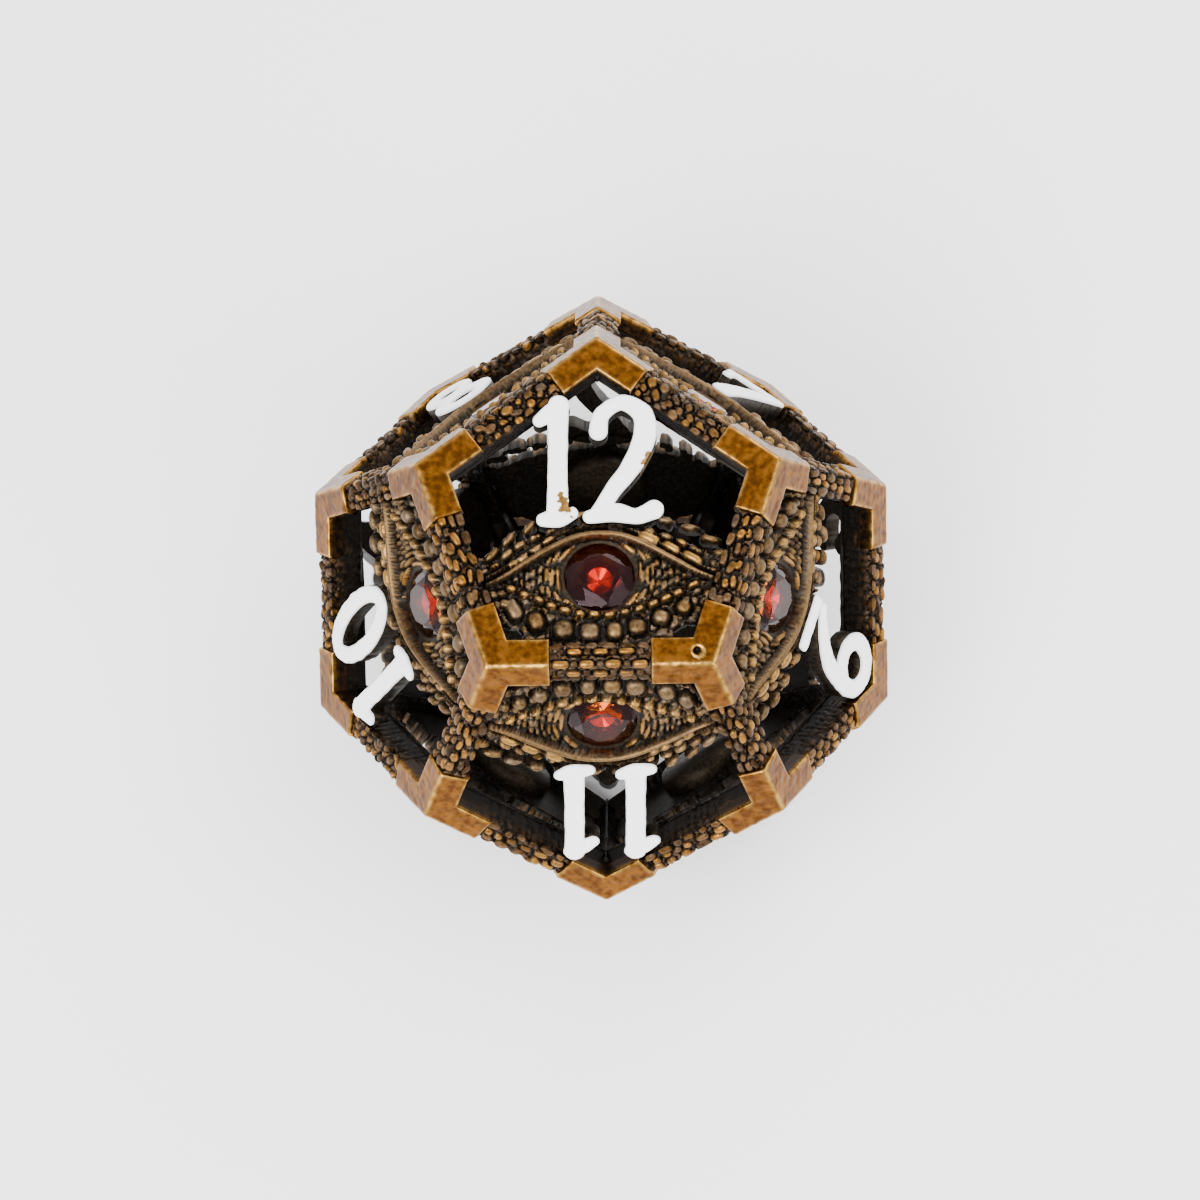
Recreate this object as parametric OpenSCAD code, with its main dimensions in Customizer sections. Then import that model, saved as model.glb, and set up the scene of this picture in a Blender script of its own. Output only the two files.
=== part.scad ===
// Openwork metal die with twelve faces. A scaled cage carries a smooth cap on each corner, and in
// each window an eye panel with its stone and a standing numeral faced with enamel.
// It rests on face 1 at z = 0, centred on the origin, with face 12 on top. Opposite faces add to 13.

/* [Cage] */
// Length of one edge of the die
edge = 9.2; // [8.8:0.1:12]
// How far a bar reaches onto each face from its edge
bar_w = 1; // [0.85:0.05:1.15]
// How deep the cage reaches below the faces, which trims the inner tip of each bar
cage_deep = 1.5; // [1.25:0.05:1.55]
// How far the scaled bars lie below the faces
bar_drop = 0.2; // [0.1:0.05:0.25]
// How far below the upper middle corners the halves of the cage meet
seam_drop = 0.7; // [0.6:0.05:0.75]
// Gap left between pieces that are fitted together
fit = 0.03; // [0.02:0.01:0.06]

/* [Corner caps] */
// Length of a cap's arm along its edge, from the corner
cap_len = 2.55; // [2.5:0.05:3]
// Width of a cap's arm on each face
cap_w = 1.17; // [1.1:0.01:1.4]
// Thickness of a cap, square to the face
cap_t = 0.7; // [0.5:0.05:0.8]

/* [Eye panels] */
// Height of the stone's centre above the edge that the eye lies along
eye_up = 3.98; // [3.6:0.02:4.2]
// Height of the corners of the eye above the same edge
corner_up = 3.85; // [3.6:0.05:4.2]
// Height of the top of the brow above the same edge
brow_up = 6.3; // [6:0.05:6.6]
// Width between the two corners of the eye
eye_w = 8.8; // [8:0.1:9]
// Greatest height of the eye between its lids
eye_h = 3.7; // [3.4:0.1:4]
// Depth of the eye's hollow in its panel
eye_hollow = 0.3; // [0.1:0.05:0.35]
// Thickness of a panel
panel_t = 0.7; // [0.6:0.05:0.75]
// How far a panel lies below its face
panel_drop = 0.25; // [0.2:0.05:0.4]
// Size of the open notch beside each lower cap
notch_r = 0.75; // [0.4:0.05:0.9]
// Width of the ledge that carries a panel
ledge_w = 0.35; // [0.25:0.05:0.5]

/* [Stones] */
// Diameter of a stone at its girdle
stone_d = 3; // [2.8:0.05:3.1]
// Diameter of the flat table on top of a stone
table_d = 1.7; // [1.4:0.05:2]
// How far a table lies below its face
stone_drop = 0.35; // [0.3:0.05:0.6]
// Height of the crown, from the girdle to the table
crown_h = 0.35; // [0.25:0.05:0.45]
// Height of the girdle
girdle_h = 0.1; // [0.08:0.01:0.15]
// Depth of the pointed back below the girdle
pavilion_h = 0.75; // [0.6:0.05:0.9]
// Wall of the cup that holds a stone
cup_wall = 0.4; // [0.3:0.05:0.5]

/* [Numerals] */
// Space between the top of a numeral and the cap above it
numeral_gap = 0.9; // [0.9:0.05:1.5]
// Thickness of a numeral's metal, square to the face
numeral_t = 0.85; // [0.6:0.05:1]
// Thickness of the enamel on a numeral
enamel_t = 0.15; // [0.1:0.01:0.2]
// Width of the foot under a numeral
foot_w = 0.6; // [0.4:0.05:0.8]
// Length of the bar under 6 and 9
underline_w = 2.4; // [2:0.1:2.8]
// Height of that bar
underline_h = 0.55; // [0.4:0.05:0.7]

/* [Hidden] */
round_fn = 64;
// how far cuts run past what they cut
over = 1;
// angles of a regular pentagon and of the die
half_corner = 54;
top_tilt = atan(2);
phi = (1 + sqrt(5)) / 2;
half_dihedral = atan(phi);
// face sizes from its centre to an edge and a corner, and die sizes from its centre to a face and a corner
face_in = edge / 2 / tan(36);
face_out = edge / 2 / sin(36);
die_in = face_in * phi;
die_out = edge * phi * sqrt(3) / 2;
corner_tilt = asin(face_out / die_out);
middle_tilt = acos((die_in - face_out) / die_out);
edge_tilt = 180 - acos(edge / 2 / die_out);
seam_z = 2 * die_in - face_out - seam_drop;
// how far a numeral is raised to make room for its bar, or lowered where two digits need the width
bar_lift = 0.4;
wide_lift = -0.2;
// the upper corner of the widest numeral, across and up in numeral heights, and its gap to the bar
wide_reach = [0.36, 0.96];
numeral_clear = 0.05;
// heights on a face, measured from its centre
eye_y = eye_up - face_in;
corner_y = corner_up - face_in;
brow_y = brow_up - face_in;
window_in = face_in - bar_w;
cap_corner = face_out - cap_w / sin(half_corner);
// a numeral fits below the top cap, and the widest one between the two upper bars
top_room = cap_corner - numeral_gap - brow_y;
side_room = (window_in - numeral_clear - (brow_y + wide_lift) * cos(36)) /
    (wide_reach[0] * sin(36) + wide_reach[1] * cos(36));
numeral_h = min(top_room, side_room);
// radii of arcs through the ends of a chord
function arc_r(half_chord, rise) = (half_chord * half_chord + rise * rise) / 2 / rise;
brow_r = arc_r(face_out * cos(18) - bar_w, brow_y - corner_y);
lid_r = arc_r(eye_w / 2, eye_h / 2);
// depths below a face
window_deep = bar_w * tan(half_dihedral) + over;
panel_deep = panel_drop + panel_t;
girdle_deep = stone_drop + crown_h + girdle_h;
culet_deep = girdle_deep + pavilion_h;
cup_floor = 0.25;
culet_d = 0.2;
// how far the ledge is rooted in its bar
ledge_root = 0.1;
// a foot: how far it lies below the enamel, reaches down into the brow and up behind its digit
foot_drop = 0.2;
foot_root = 0.75;
foot_reach = 0.65;
// steps along one span of a drawn stroke, and points round a ring
stroke_steps = 5;
ring_points = 30;

number = [for (i = [0:20]) str(i < 10 ? "0" : "", i)];

// ---- the twelve faces and twenty corners ----

// Tilt of face n from straight up, and its bearing round Z
function face_tilt(n) = n == 12 ? 0 : n == 1 ? 180 : n > 6 ? top_tilt : 180 - top_tilt;
face_bearings = [0, -90, 90, 18, 162, 306, 234, 54, 126, -18, 198, -90, -90];
// An upper face has its eye beside the top face, and a lower one beside the bottom face
function face_turn(n) = n > 6 && n < 12 ? 180 : 0;

// Puts children on face n: x and y on the face from its centre, z = 0 on the face, outward up
module on_face(n) {
    translate([0, 0, die_in])
        rotate([0, 0, face_bearings[n] + 90])
            rotate([face_tilt(n), 0, 0])
                rotate([0, 0, face_turn(n)])
                    translate([0, 0, die_in])
                        children();
}

// Puts children at corner i, in rings of five from the top, with the corner straight up at die_out
module on_corner(i) {
    ring = floor((i - 1) / 5);
    tilt = [corner_tilt, middle_tilt, 180 - middle_tilt, 180 - corner_tilt][ring];
    bearing = (ring < 2 ? 90 : 270) + 72 * ((i - 1) % 5);
    translate([0, 0, die_in])
        rotate([0, 0, bearing])
            rotate([0, tilt, 0])
                rotate([0, 0, ring % 2 == 0 ? 0 : 180])
                    children();
}

// The space between a face plane this far in, and its opposite, for the face straight up
module slab(drop) {
    cube([4 * edge, 4 * edge, 2 * (die_in - drop)], center = true);
}

// Everything inside twelve planes that lie this far below the faces
module die_block(drop) {
    translate([0, 0, die_in])
        intersection() {
            slab(drop);
            intersection_for (n = [7:11])
                rotate([0, 0, face_bearings[n] + 90])
                    rotate([top_tilt, 0, 0])
                        slab(drop);
        }
}

// The same about the die's centre, with one corner straight up and an edge of it towards +X
module die_at_corner(drop) {
    intersection_for (k = [0:2])
        rotate([0, 0, 60 + 120 * k])
            rotate([0, corner_tilt, 0])
                slab(drop);
}

// A pentagon like the face, with its edges this far from the centre, between two depths
module pentagon(inradius, top, bottom) {
    translate([0, 0, -bottom])
        rotate([0, 0, 90])
            cylinder(r = inradius / cos(36), h = bottom - top, $fn = 5);
}

// Two arms along the edges that leave a corner at the origin, the face lying towards +X
module chevron(length, width, top, bottom) {
    along = [cos(half_corner), sin(half_corner)];
    inward = [sin(half_corner), -cos(half_corner)];
    side = [length * along, length * along + width * inward];
    translate([0, 0, -bottom])
        linear_extrude(bottom - top)
            polygon([
                [0, 0], side[0], side[1], [width / sin(half_corner), 0],
                [side[1][0], -side[1][1]], [side[0][0], -side[0][1]]
            ]);
}

// ---- the cage ----

// The lower part of each window has a ledge that its panel rests on
module ledge() {
    bottom = cage_deep + over;
    intersection() {
        difference() {
            pentagon(window_in + ledge_root, panel_deep, bottom);
            pentagon(window_in - ledge_w, panel_deep - over, bottom + over);
        }
        translate([-edge, -face_in, -bottom])
            cube([2 * edge, corner_up, 2 * over]);
    }
}

// The edges that face n counts as its own, by their bearings on it, so that each edge counts once
function own_edges(n) = n == 12 || n == 1 ? [-90, -18, 54, 126, 198] : n > 6 ? [-18, 54, 126] : [-18];

// The space between the two caps on each edge, where a bar stands up to its full height
module bar_spaces() {
    for (n = [1:12], bearing = own_edges(n))
        on_face(n)
            rotate([0, 0, bearing])
                translate([face_in, 0, 0])
                    cube([4 * bar_w, edge - 2 * cap_len - 2 * fit, 4 * bar_w], center = true);
}

// Bars between the caps, and below the caps a lower corner that they fit over
module cage() {
    difference() {
        union() {
            difference() {
                union() {
                    die_block(cap_t + fit);
                    intersection() {
                        die_block(bar_drop);
                        bar_spaces();
                    }
                }
                for (n = [1:12])
                    on_face(n) pentagon(window_in, -over, window_deep);
            }
            for (n = [1:12])
                on_face(n) ledge();
        }
        die_block(cage_deep);
    }
}

// The half of the cage between two heights
module cage_between(low, high) {
    intersection() {
        cage();
        translate([-2 * edge, -2 * edge, low])
            cube([4 * edge, 4 * edge, high - low]);
    }
}

module cage_upper() {
    color("#5a4630") cage_between(seam_z, 3 * edge);
}

module cage_lower() {
    color("#54412d") cage_between(-edge, seam_z);
}

// ---- the corner caps ----

// The space within cap_len of the corner straight up, measured along each of its three edges
module within_arms() {
    size = 2 * edge;
    translate([0, 0, die_out])
        intersection_for (k = [0:2])
            rotate([0, 0, 120 * k])
                rotate([0, edge_tilt, 0])
                    translate([-size / 2, -size / 2, cap_len - size])
                        cube(size);
}

// The windows of the three faces round the corner straight up, as the caps frame them
module cap_windows() {
    for (k = [0:2])
        rotate([0, 0, 60 + 120 * k])
            rotate([0, corner_tilt, 0])
                translate([0, 0, die_in])
                    rotate([0, 0, 90])
                        pentagon(face_in - cap_w, -over, window_deep);
}

// The corner of a shell, cut square to its three edges
module corner_cap(i) {
    color("#b96f1c")
        on_corner(i)
            difference() {
                intersection() {
                    die_at_corner(0);
                    within_arms();
                }
                die_at_corner(cap_t);
                cap_windows();
            }
}

// ---- the eye panels ----

// The plate below the brow, clear of the window's sides and of the caps
module panel_plate() {
    difference() {
        intersection() {
            pentagon(window_in - fit, panel_drop, panel_deep);
            translate([0, brow_y - brow_r, -panel_deep])
                cylinder(r = brow_r, h = panel_t, $fn = round_fn);
        }
        for (k = [1:4])
            rotate([0, 0, 90 + 72 * k])
                translate([face_out, 0, 0])
                    rotate([0, 0, 180])
                        chevron(cap_len + fit, cap_w + fit, -over, cap_t + fit);
        for (k = [2, 3])
            rotate([0, 0, 90 + 72 * k])
                translate([cap_corner, 0, -panel_deep - over])
                    cylinder(r = notch_r, h = panel_deep + 2 * over, $fn = round_fn);
    }
}

// The hollow between the lids, where the two arcs cross
module lid_hollow() {
    intersection_for (side = [-1, 1])
        translate([0, eye_y + side * (lid_r - eye_h / 2), -panel_drop - eye_hollow])
            cylinder(r = lid_r, h = panel_drop + over, $fn = round_fn);
}

// A turned space for the stone: straight down to its girdle, then a cone like its back
module stone_seat() {
    seat_r = stone_d / 2 + fit;
    translate([0, eye_y, 0])
        rotate_extrude($fn = round_fn)
            polygon([
                [0, over], [seat_r, over], [seat_r, -girdle_deep - fit],
                [culet_d / 2 + fit, -culet_deep - fit], [0, -culet_deep - fit]
            ]);
}

module stone_cup() {
    floor_deep = culet_deep + cup_floor;
    translate([0, eye_y, -floor_deep])
        cylinder(r = stone_d / 2 + cup_wall, h = floor_deep - panel_deep + panel_t / 2, $fn = round_fn);
}

module eye_panel(n) {
    color("#6b5233")
        on_face(n) {
            difference() {
                union() {
                    difference() {
                        union() {
                            panel_plate();
                            stone_cup();
                        }
                        lid_hollow();
                    }
                    numeral(n, enamel_t, numeral_t);
                    for (at = label(n))
                        foot(at, brow_y + lift(n));
                }
                stone_seat();
            }
        }
}

// ---- the stones ----

module stone(n) {
    color("#9c1a0c")
        on_face(n)
            translate([0, eye_y, 0])
                rotate_extrude($fn = round_fn)
                    polygon([
                        [0, -stone_drop], [table_d / 2, -stone_drop],
                        [stone_d / 2, -stone_drop - crown_h], [stone_d / 2, -girdle_deep],
                        [culet_d / 2, -culet_deep], [0, -culet_deep]
                    ]);
}

// ---- the numerals ----

// Digits of face n, each with its place across the face in numeral heights
function label(n) =
    n == 12 ? [[1, -0.3], [2, 0.175]] :
    n == 11 ? [[1, -0.24], [1, 0.22]] :
    n == 10 ? [[1, -0.27], [0, 0.25]] : [[n, 0]];
// How far a numeral stands above the brow, and whether a bar shows which way up it reads
function lift(n) = underlined(n) ? bar_lift : n < 10 ? 0 : wide_lift;
function underlined(n) = n == 6 || n == 9;

// Strokes of each digit in numeral heights: x from its middle, y from its foot, and half its width
strokes = [
    [],
    [
        [[0, 0.03, 0.085], [-0.01, 0.3, 0.07], [-0.01, 0.65, 0.07], [0.01, 0.96, 0.07]],
        [[0.02, 0.93, 0.06], [-0.08, 0.88, 0.055], [-0.16, 0.81, 0.03]],
        [[-0.14, 0.03, 0.03], [0, 0.05, 0.05], [0.14, 0.03, 0.03]]
    ],
    [
        [[-0.17, 0.72, 0.07], [-0.14, 0.85, 0.06], [0, 0.94, 0.06], [0.15, 0.86, 0.075],
            [0.175, 0.69, 0.085], [0.09, 0.47, 0.075], [-0.06, 0.26, 0.065], [-0.2, 0.06, 0.05]],
        [[-0.24, 0.05, 0.05], [-0.05, 0.08, 0.07], [0.1, 0.05, 0.06], [0.23, 0.1, 0.075]]
    ],
    [
        [[-0.18, 0.76, 0.07], [-0.12, 0.9, 0.06], [0.02, 0.94, 0.06], [0.14, 0.84, 0.075],
            [0.12, 0.67, 0.07], [-0.05, 0.55, 0.05]],
        [[-0.07, 0.55, 0.05], [0.12, 0.48, 0.07], [0.19, 0.28, 0.085], [0.1, 0.1, 0.07],
            [-0.06, 0.06, 0.06], [-0.19, 0.17, 0.075]]
    ],
    [
        [[0.08, 0.02, 0.075], [0.08, 0.97, 0.075]],
        [[0.06, 0.94, 0.06], [-0.21, 0.33, 0.055]],
        [[-0.25, 0.31, 0.06], [0.23, 0.31, 0.06]]
    ],
    [
        [[-0.17, 0.93, 0.06], [0.18, 0.94, 0.06]],
        [[-0.13, 0.95, 0.05], [-0.16, 0.52, 0.05]],
        [[-0.18, 0.54, 0.05], [0, 0.6, 0.06], [0.15, 0.5, 0.075], [0.19, 0.29, 0.085],
            [0.09, 0.1, 0.07], [-0.06, 0.06, 0.06], [-0.19, 0.16, 0.075]]
    ],
    [
        [[-0.19, 0.27, 0.07], [-0.15, 0.6, 0.075], [0, 0.82, 0.06], [0.15, 0.91, 0.045]]
    ],
    [
        [[-0.24, 0.92, 0.055], [0.22, 0.93, 0.055]],
        [[-0.21, 0.96, 0.04], [-0.22, 0.76, 0.04]],
        [[0.19, 0.93, 0.06], [0.06, 0.6, 0.075], [-0.02, 0.3, 0.08], [-0.05, 0.02, 0.085]]
    ],
    [],
    [
        [[0.19, 0.73, 0.07], [0.15, 0.4, 0.075], [0, 0.18, 0.06], [-0.17, 0.05, 0.045]]
    ]
];
// Rings of each digit: centre, half-axes of the middle line, and half the width
rings = [
    [[0.5, 0.17, 0.42, 0.065]], [], [], [], [], [],
    [[0.26, 0.18, 0.19, 0.07]], [],
    [[0.27, 0.18, 0.2, 0.07], [0.74, 0.145, 0.18, 0.06]],
    [[0.74, 0.18, 0.19, 0.07]]
];
// Where the foot of each digit stands, across from its middle
foot_places = [0, 0, -0.05, 0, 0.08, 0, 0, -0.05, 0, -0.13];

// A smooth line through points, drawn from b to c with a and d beyond them
function between(a, b, c, d, t) =
    (2 * b + (c - a) * t + (2 * a - 5 * b + 4 * c - d) * t * t
        + (3 * b - a - 3 * c + d) * t * t * t) / 2;
function smooth_line(p) = concat(
    [for (i = [0:len(p) - 2], k = [0:stroke_steps - 1])
        between(p[max(i - 1, 0)], p[i], p[i + 1], p[min(i + 2, len(p) - 1)], k / stroke_steps)],
    [p[len(p) - 1]]
);
// One side of a line, half its width away
function beside(q, side) = [
    for (i = [0:len(q) - 1])
        let (step = q[min(i + 1, len(q) - 1)] - q[max(i - 1, 0)])
        let (out = side * q[i][2] / norm([step[0], step[1]]))
        [q[i][0] - out * step[1], q[i][1] + out * step[0]]
];
function reversed(q) = [for (i = [len(q) - 1:-1:0]) q[i]];
function stroke_outline(p) = let (q = smooth_line(p)) concat(beside(q, 1), reversed(beside(q, -1)));
function oval(middle, half_w, half_h) = [
    for (i = [0:ring_points - 1])
        let (turn = 360 * i / ring_points)
        [half_w * cos(turn), middle + half_h * sin(turn)]
];

module digit(d, thickness) {
    for (p = strokes[d])
        linear_extrude(thickness)
            polygon(numeral_h * stroke_outline(p));
    for (r = rings[d])
        difference() {
            linear_extrude(thickness)
                polygon(numeral_h * oval(r[0], r[1] + r[3], r[2] + r[3]));
            translate([0, 0, -over])
                linear_extrude(thickness + 2 * over)
                    polygon(numeral_h * oval(r[0], r[1] - r[3], r[2] - r[3]));
        }
}

// The digits of face n and its bar, between two depths
module numeral(n, top, bottom) {
    translate([0, brow_y + lift(n), -bottom]) {
        for (at = label(n))
            translate([at[1] * numeral_h, 0, 0]) digit(at[0], bottom - top);
        if (underlined(n))
            translate([-underline_w / 2, -underline_h - fit, 0])
                cube([underline_w, underline_h, bottom - top]);
    }
}

// The dark foot that ties a digit to the brow, below the enamel
module foot(at, y) {
    x = (at[1] + foot_places[at[0]]) * numeral_h - foot_w / 2;
    translate([x, brow_y - foot_root, -numeral_t])
        cube([foot_w, y - brow_y + foot_root + foot_reach, numeral_t - enamel_t - foot_drop]);
}

module enamel(n) {
    color("white")
        on_face(n) numeral(n, 0, enamel_t);
}

// ---- one piece or all of them ----

cage_upper();
cage_lower();
for (i = [1:20])
    corner_cap(i);
for (n = [1:12]) {
    eye_panel(n);
    stone(n);
    enamel(n);
}
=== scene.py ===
"""Looks of an openwork metal die with twelve faces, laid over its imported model."""

import logging
import math
from dataclasses import dataclass, field, replace
from enum import Enum
from typing import Callable

import bmesh
import bpy
import numpy as np
from mathutils import Matrix, Vector


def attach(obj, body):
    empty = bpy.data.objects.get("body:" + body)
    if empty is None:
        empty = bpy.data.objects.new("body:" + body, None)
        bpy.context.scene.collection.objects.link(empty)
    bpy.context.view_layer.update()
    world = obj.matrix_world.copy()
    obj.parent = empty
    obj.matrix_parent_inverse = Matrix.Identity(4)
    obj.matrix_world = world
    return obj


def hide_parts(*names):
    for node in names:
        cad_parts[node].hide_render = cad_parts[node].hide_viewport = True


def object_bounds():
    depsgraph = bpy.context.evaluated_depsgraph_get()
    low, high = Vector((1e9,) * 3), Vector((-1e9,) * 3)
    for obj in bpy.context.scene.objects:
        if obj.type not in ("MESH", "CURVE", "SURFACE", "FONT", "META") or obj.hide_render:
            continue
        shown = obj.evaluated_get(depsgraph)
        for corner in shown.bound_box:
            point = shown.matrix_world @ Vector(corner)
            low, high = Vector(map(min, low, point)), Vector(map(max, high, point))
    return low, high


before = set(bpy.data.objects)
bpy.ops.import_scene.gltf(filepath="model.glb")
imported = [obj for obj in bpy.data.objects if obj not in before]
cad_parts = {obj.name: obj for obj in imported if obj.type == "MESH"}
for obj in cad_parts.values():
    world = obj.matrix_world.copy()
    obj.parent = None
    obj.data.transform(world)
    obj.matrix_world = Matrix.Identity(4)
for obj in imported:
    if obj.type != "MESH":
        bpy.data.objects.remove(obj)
cad_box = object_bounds()

log = logging.getLogger("die")
MM = 0.001
PHI = (1 + math.sqrt(5)) / 2
DIE_IN_PER_EDGE = PHI / 2 / math.tan(math.radians(36))
EDGE = (cad_box[1].z - cad_box[0].z) / MM / 2 / DIE_IN_PER_EDGE
FACE_IN = EDGE / 2 / math.tan(math.radians(36))
FACE_OUT = EDGE / 2 / math.sin(math.radians(36))
DIE_IN = FACE_IN * PHI
CORNER_OUT = EDGE * PHI * math.sqrt(3) / 2
HALF_RIDGE = math.atan(PHI)
SIDES = (-90, -18, 54, 126, 198)
SEED = 12
FAR = 1e9
CAP_ARM = 2.55
CAP_WIDTH = 1.17
BAR_WIDTH = 1.0
STONE_R = 1.5
STONE_Y = 3.98 - FACE_IN
BROW_Y = -0.03
INNER_CORNER = math.radians(54)

Array = np.ndarray


# ---- small helpers ----


def smooth(low: float, high: float, x: Array) -> Array:
    """A smooth step from 0 at low to 1 at high."""
    t = np.clip((x - low) / (high - low), 0, 1)
    return t * t * (3 - 2 * t)


def turn_z(degrees: float) -> Array:
    """A 4 by 4 turn round Z."""
    return np.array(Matrix.Rotation(math.radians(degrees), 4, "Z"))


def turn_x(degrees: float) -> Array:
    """A 4 by 4 turn round X."""
    return np.array(Matrix.Rotation(math.radians(degrees), 4, "X"))


def turn_y(degrees: float) -> Array:
    """A 4 by 4 turn round Y."""
    return np.array(Matrix.Rotation(math.radians(degrees), 4, "Y"))


def shift(x: float, y: float, z: float) -> Array:
    """A 4 by 4 move."""
    return np.array(Matrix.Translation((x, y, z)))


def face_frame(n: int) -> Array:
    """The frame of face n: x and y on the face from its centre, z outward.

    Args:
        n: number of the face, from 1 to 12.

    Returns:
        A 4 by 4 matrix into the die's frame, in millimetres.
    """
    lean = math.degrees(math.atan(2))
    tilt = 0 if n == 12 else 180 if n == 1 else lean if n > 6 else 180 - lean
    bearing = (0, -90, 90, 18, 162, 306, 234, 54, 126, -18, 198, -90, -90)[n]
    half_turn = 180 if 6 < n < 12 else 0
    return (
        shift(0, 0, DIE_IN) @ turn_z(bearing + 90) @ turn_x(tilt)
        @ turn_z(half_turn) @ shift(0, 0, DIE_IN)
    )


def edge_frame(n: int, bearing: float) -> Array:
    """The frame of one edge of face n: x along it, y across it towards the face, z out through it.

    Args:
        n: number of the face.
        bearing: direction from the face's centre to the edge, in degrees.

    Returns:
        A 4 by 4 matrix into the die's frame, in millimetres.
    """
    cos_a, sin_a = math.cos(HALF_RIDGE), math.sin(HALF_RIDGE)
    local = np.eye(4)
    local[:3, 0] = (0, -1, 0)
    local[:3, 1] = (-sin_a, 0, cos_a)
    local[:3, 2] = (cos_a, 0, sin_a)
    return face_frame(n) @ turn_z(bearing) @ shift(FACE_IN, 0, 0) @ local


def corner_frame(i: int) -> Array:
    """The frame at the die's centre whose z runs through corner i and x towards an edge of it."""
    face_r = math.degrees(math.asin(FACE_OUT / CORNER_OUT))
    mid_r = math.degrees(math.acos((DIE_IN - FACE_OUT) / CORNER_OUT))
    ring = (i - 1) // 5
    tilt = (face_r, mid_r, 180 - mid_r, 180 - face_r)[ring]
    bearing = (90 if ring < 2 else 270) + 72 * ((i - 1) % 5)
    return shift(0, 0, DIE_IN) @ turn_z(bearing) @ turn_y(tilt) @ turn_z(0 if ring % 2 == 0 else 180)


def place(matrix: Array, points: Array) -> Array:
    """Points in a frame, taken into the die's frame."""
    return points @ matrix[:3, :3].T + matrix[:3, 3]


@dataclass
class Waves:
    """Smooth seeded noise made of crossing waves, near 0 with a spread of about 1."""

    seed: int
    size: float
    count: int = 14

    def __post_init__(self) -> None:
        """Draws the waves once."""
        rng = np.random.default_rng(self.seed)
        self.ways = rng.normal(size=(self.count, 3)) * 2 * math.pi / self.size
        self.starts = rng.uniform(0, 2 * math.pi, self.count)

    def __call__(self, points: Array) -> Array:
        """The noise at points, of two or three coordinates each."""
        ways = self.ways[:, : points.shape[1]]
        return np.sin(points @ ways.T + self.starts).sum(1) * math.sqrt(2 / self.count)


# ---- outlines as signed distances, below 0 inside ----


def pentagon_gap(p: Array, inradius: float) -> Array:
    """Distance to a pentagon like the face."""
    return np.max([
        p[:, 0] * math.cos(math.radians(b)) + p[:, 1] * math.sin(math.radians(b)) for b in SIDES
    ], axis=0) - inradius


def circle_gap(p: Array, x: float, y: float, radius: float) -> Array:
    """Distance to a circle."""
    return np.hypot(p[:, 0] - x, p[:, 1] - y) - radius


def box_gap(p: Array, x: float, y: float, half_w: float, half_h: float, rounding: float) -> Array:
    """Distance to a rectangle with rounded corners."""
    dx = np.abs(p[:, 0] - x) - half_w + rounding
    dy = np.abs(p[:, 1] - y) - half_h + rounding
    outside = np.hypot(np.maximum(dx, 0), np.maximum(dy, 0))
    return outside + np.minimum(np.maximum(dx, dy), 0) - rounding


def chevron_gap(p: Array, k: int, length: float, width: float) -> Array:
    """Distance to the two arms of a cap at corner k of the face, counted from the top one."""
    around = math.radians(90 + 72 * k)
    corner = FACE_OUT * np.array([math.cos(around), math.sin(around)])
    arms = []
    for side in (-1, 1):
        way = around + math.pi + side * INNER_CORNER
        along = np.array([math.cos(way), math.sin(way)])
        inward = side * np.array([along[1], -along[0]])
        arms.append(np.maximum((p - corner) @ along - length, (p - corner) @ inward - width))
    return np.minimum(*arms)


def line_gap(p: Array, line: Array) -> Array:
    """Signed distance to a stroke drawn along a line.

    Args:
        p: points.
        line: rows of x, y and half width.
    """
    best = np.full(len(p), FAR)
    for a, b in zip(line[:-1], line[1:]):
        way = b[:2] - a[:2]
        t = np.clip((p - a[:2]) @ way / max(way @ way, 1e-12), 0, 1)
        away = p - a[:2] - t[:, None] * way
        best = np.minimum(best, np.hypot(away[:, 0], away[:, 1]) - (a[2] + t * (b[2] - a[2])))
    return best


def curve(points: list, steps: int = 6) -> Array:
    """A smooth line through points, of any number of values each."""
    p = [np.array(q, float) for q in points]
    out = []
    for i in range(len(p) - 1):
        a, b, c, d = p[max(i - 1, 0)], p[i], p[i + 1], p[min(i + 2, len(p) - 1)]
        for k in range(steps):
            t = k / steps
            out.append((2 * b + (c - a) * t + (2 * a - 5 * b + 4 * c - d) * t ** 2
                        + (3 * b - a - 3 * c + d) * t ** 3) / 2)
    return np.array(out + [p[-1]])


# ---- relief ----


@dataclass(frozen=True)
class Scale:
    """One raised scale: its place, half sizes, way, foot, rise, how golden its top is and its squareness.

    moat is how deep a gap lies round it, which is darkened with painted shade.
    """

    x: float
    y: float
    half_l: float
    half_w: float
    angle: float
    foot: float
    rise: float
    gold: float
    square: float = 2.6
    moat: float = 0.0


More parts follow.
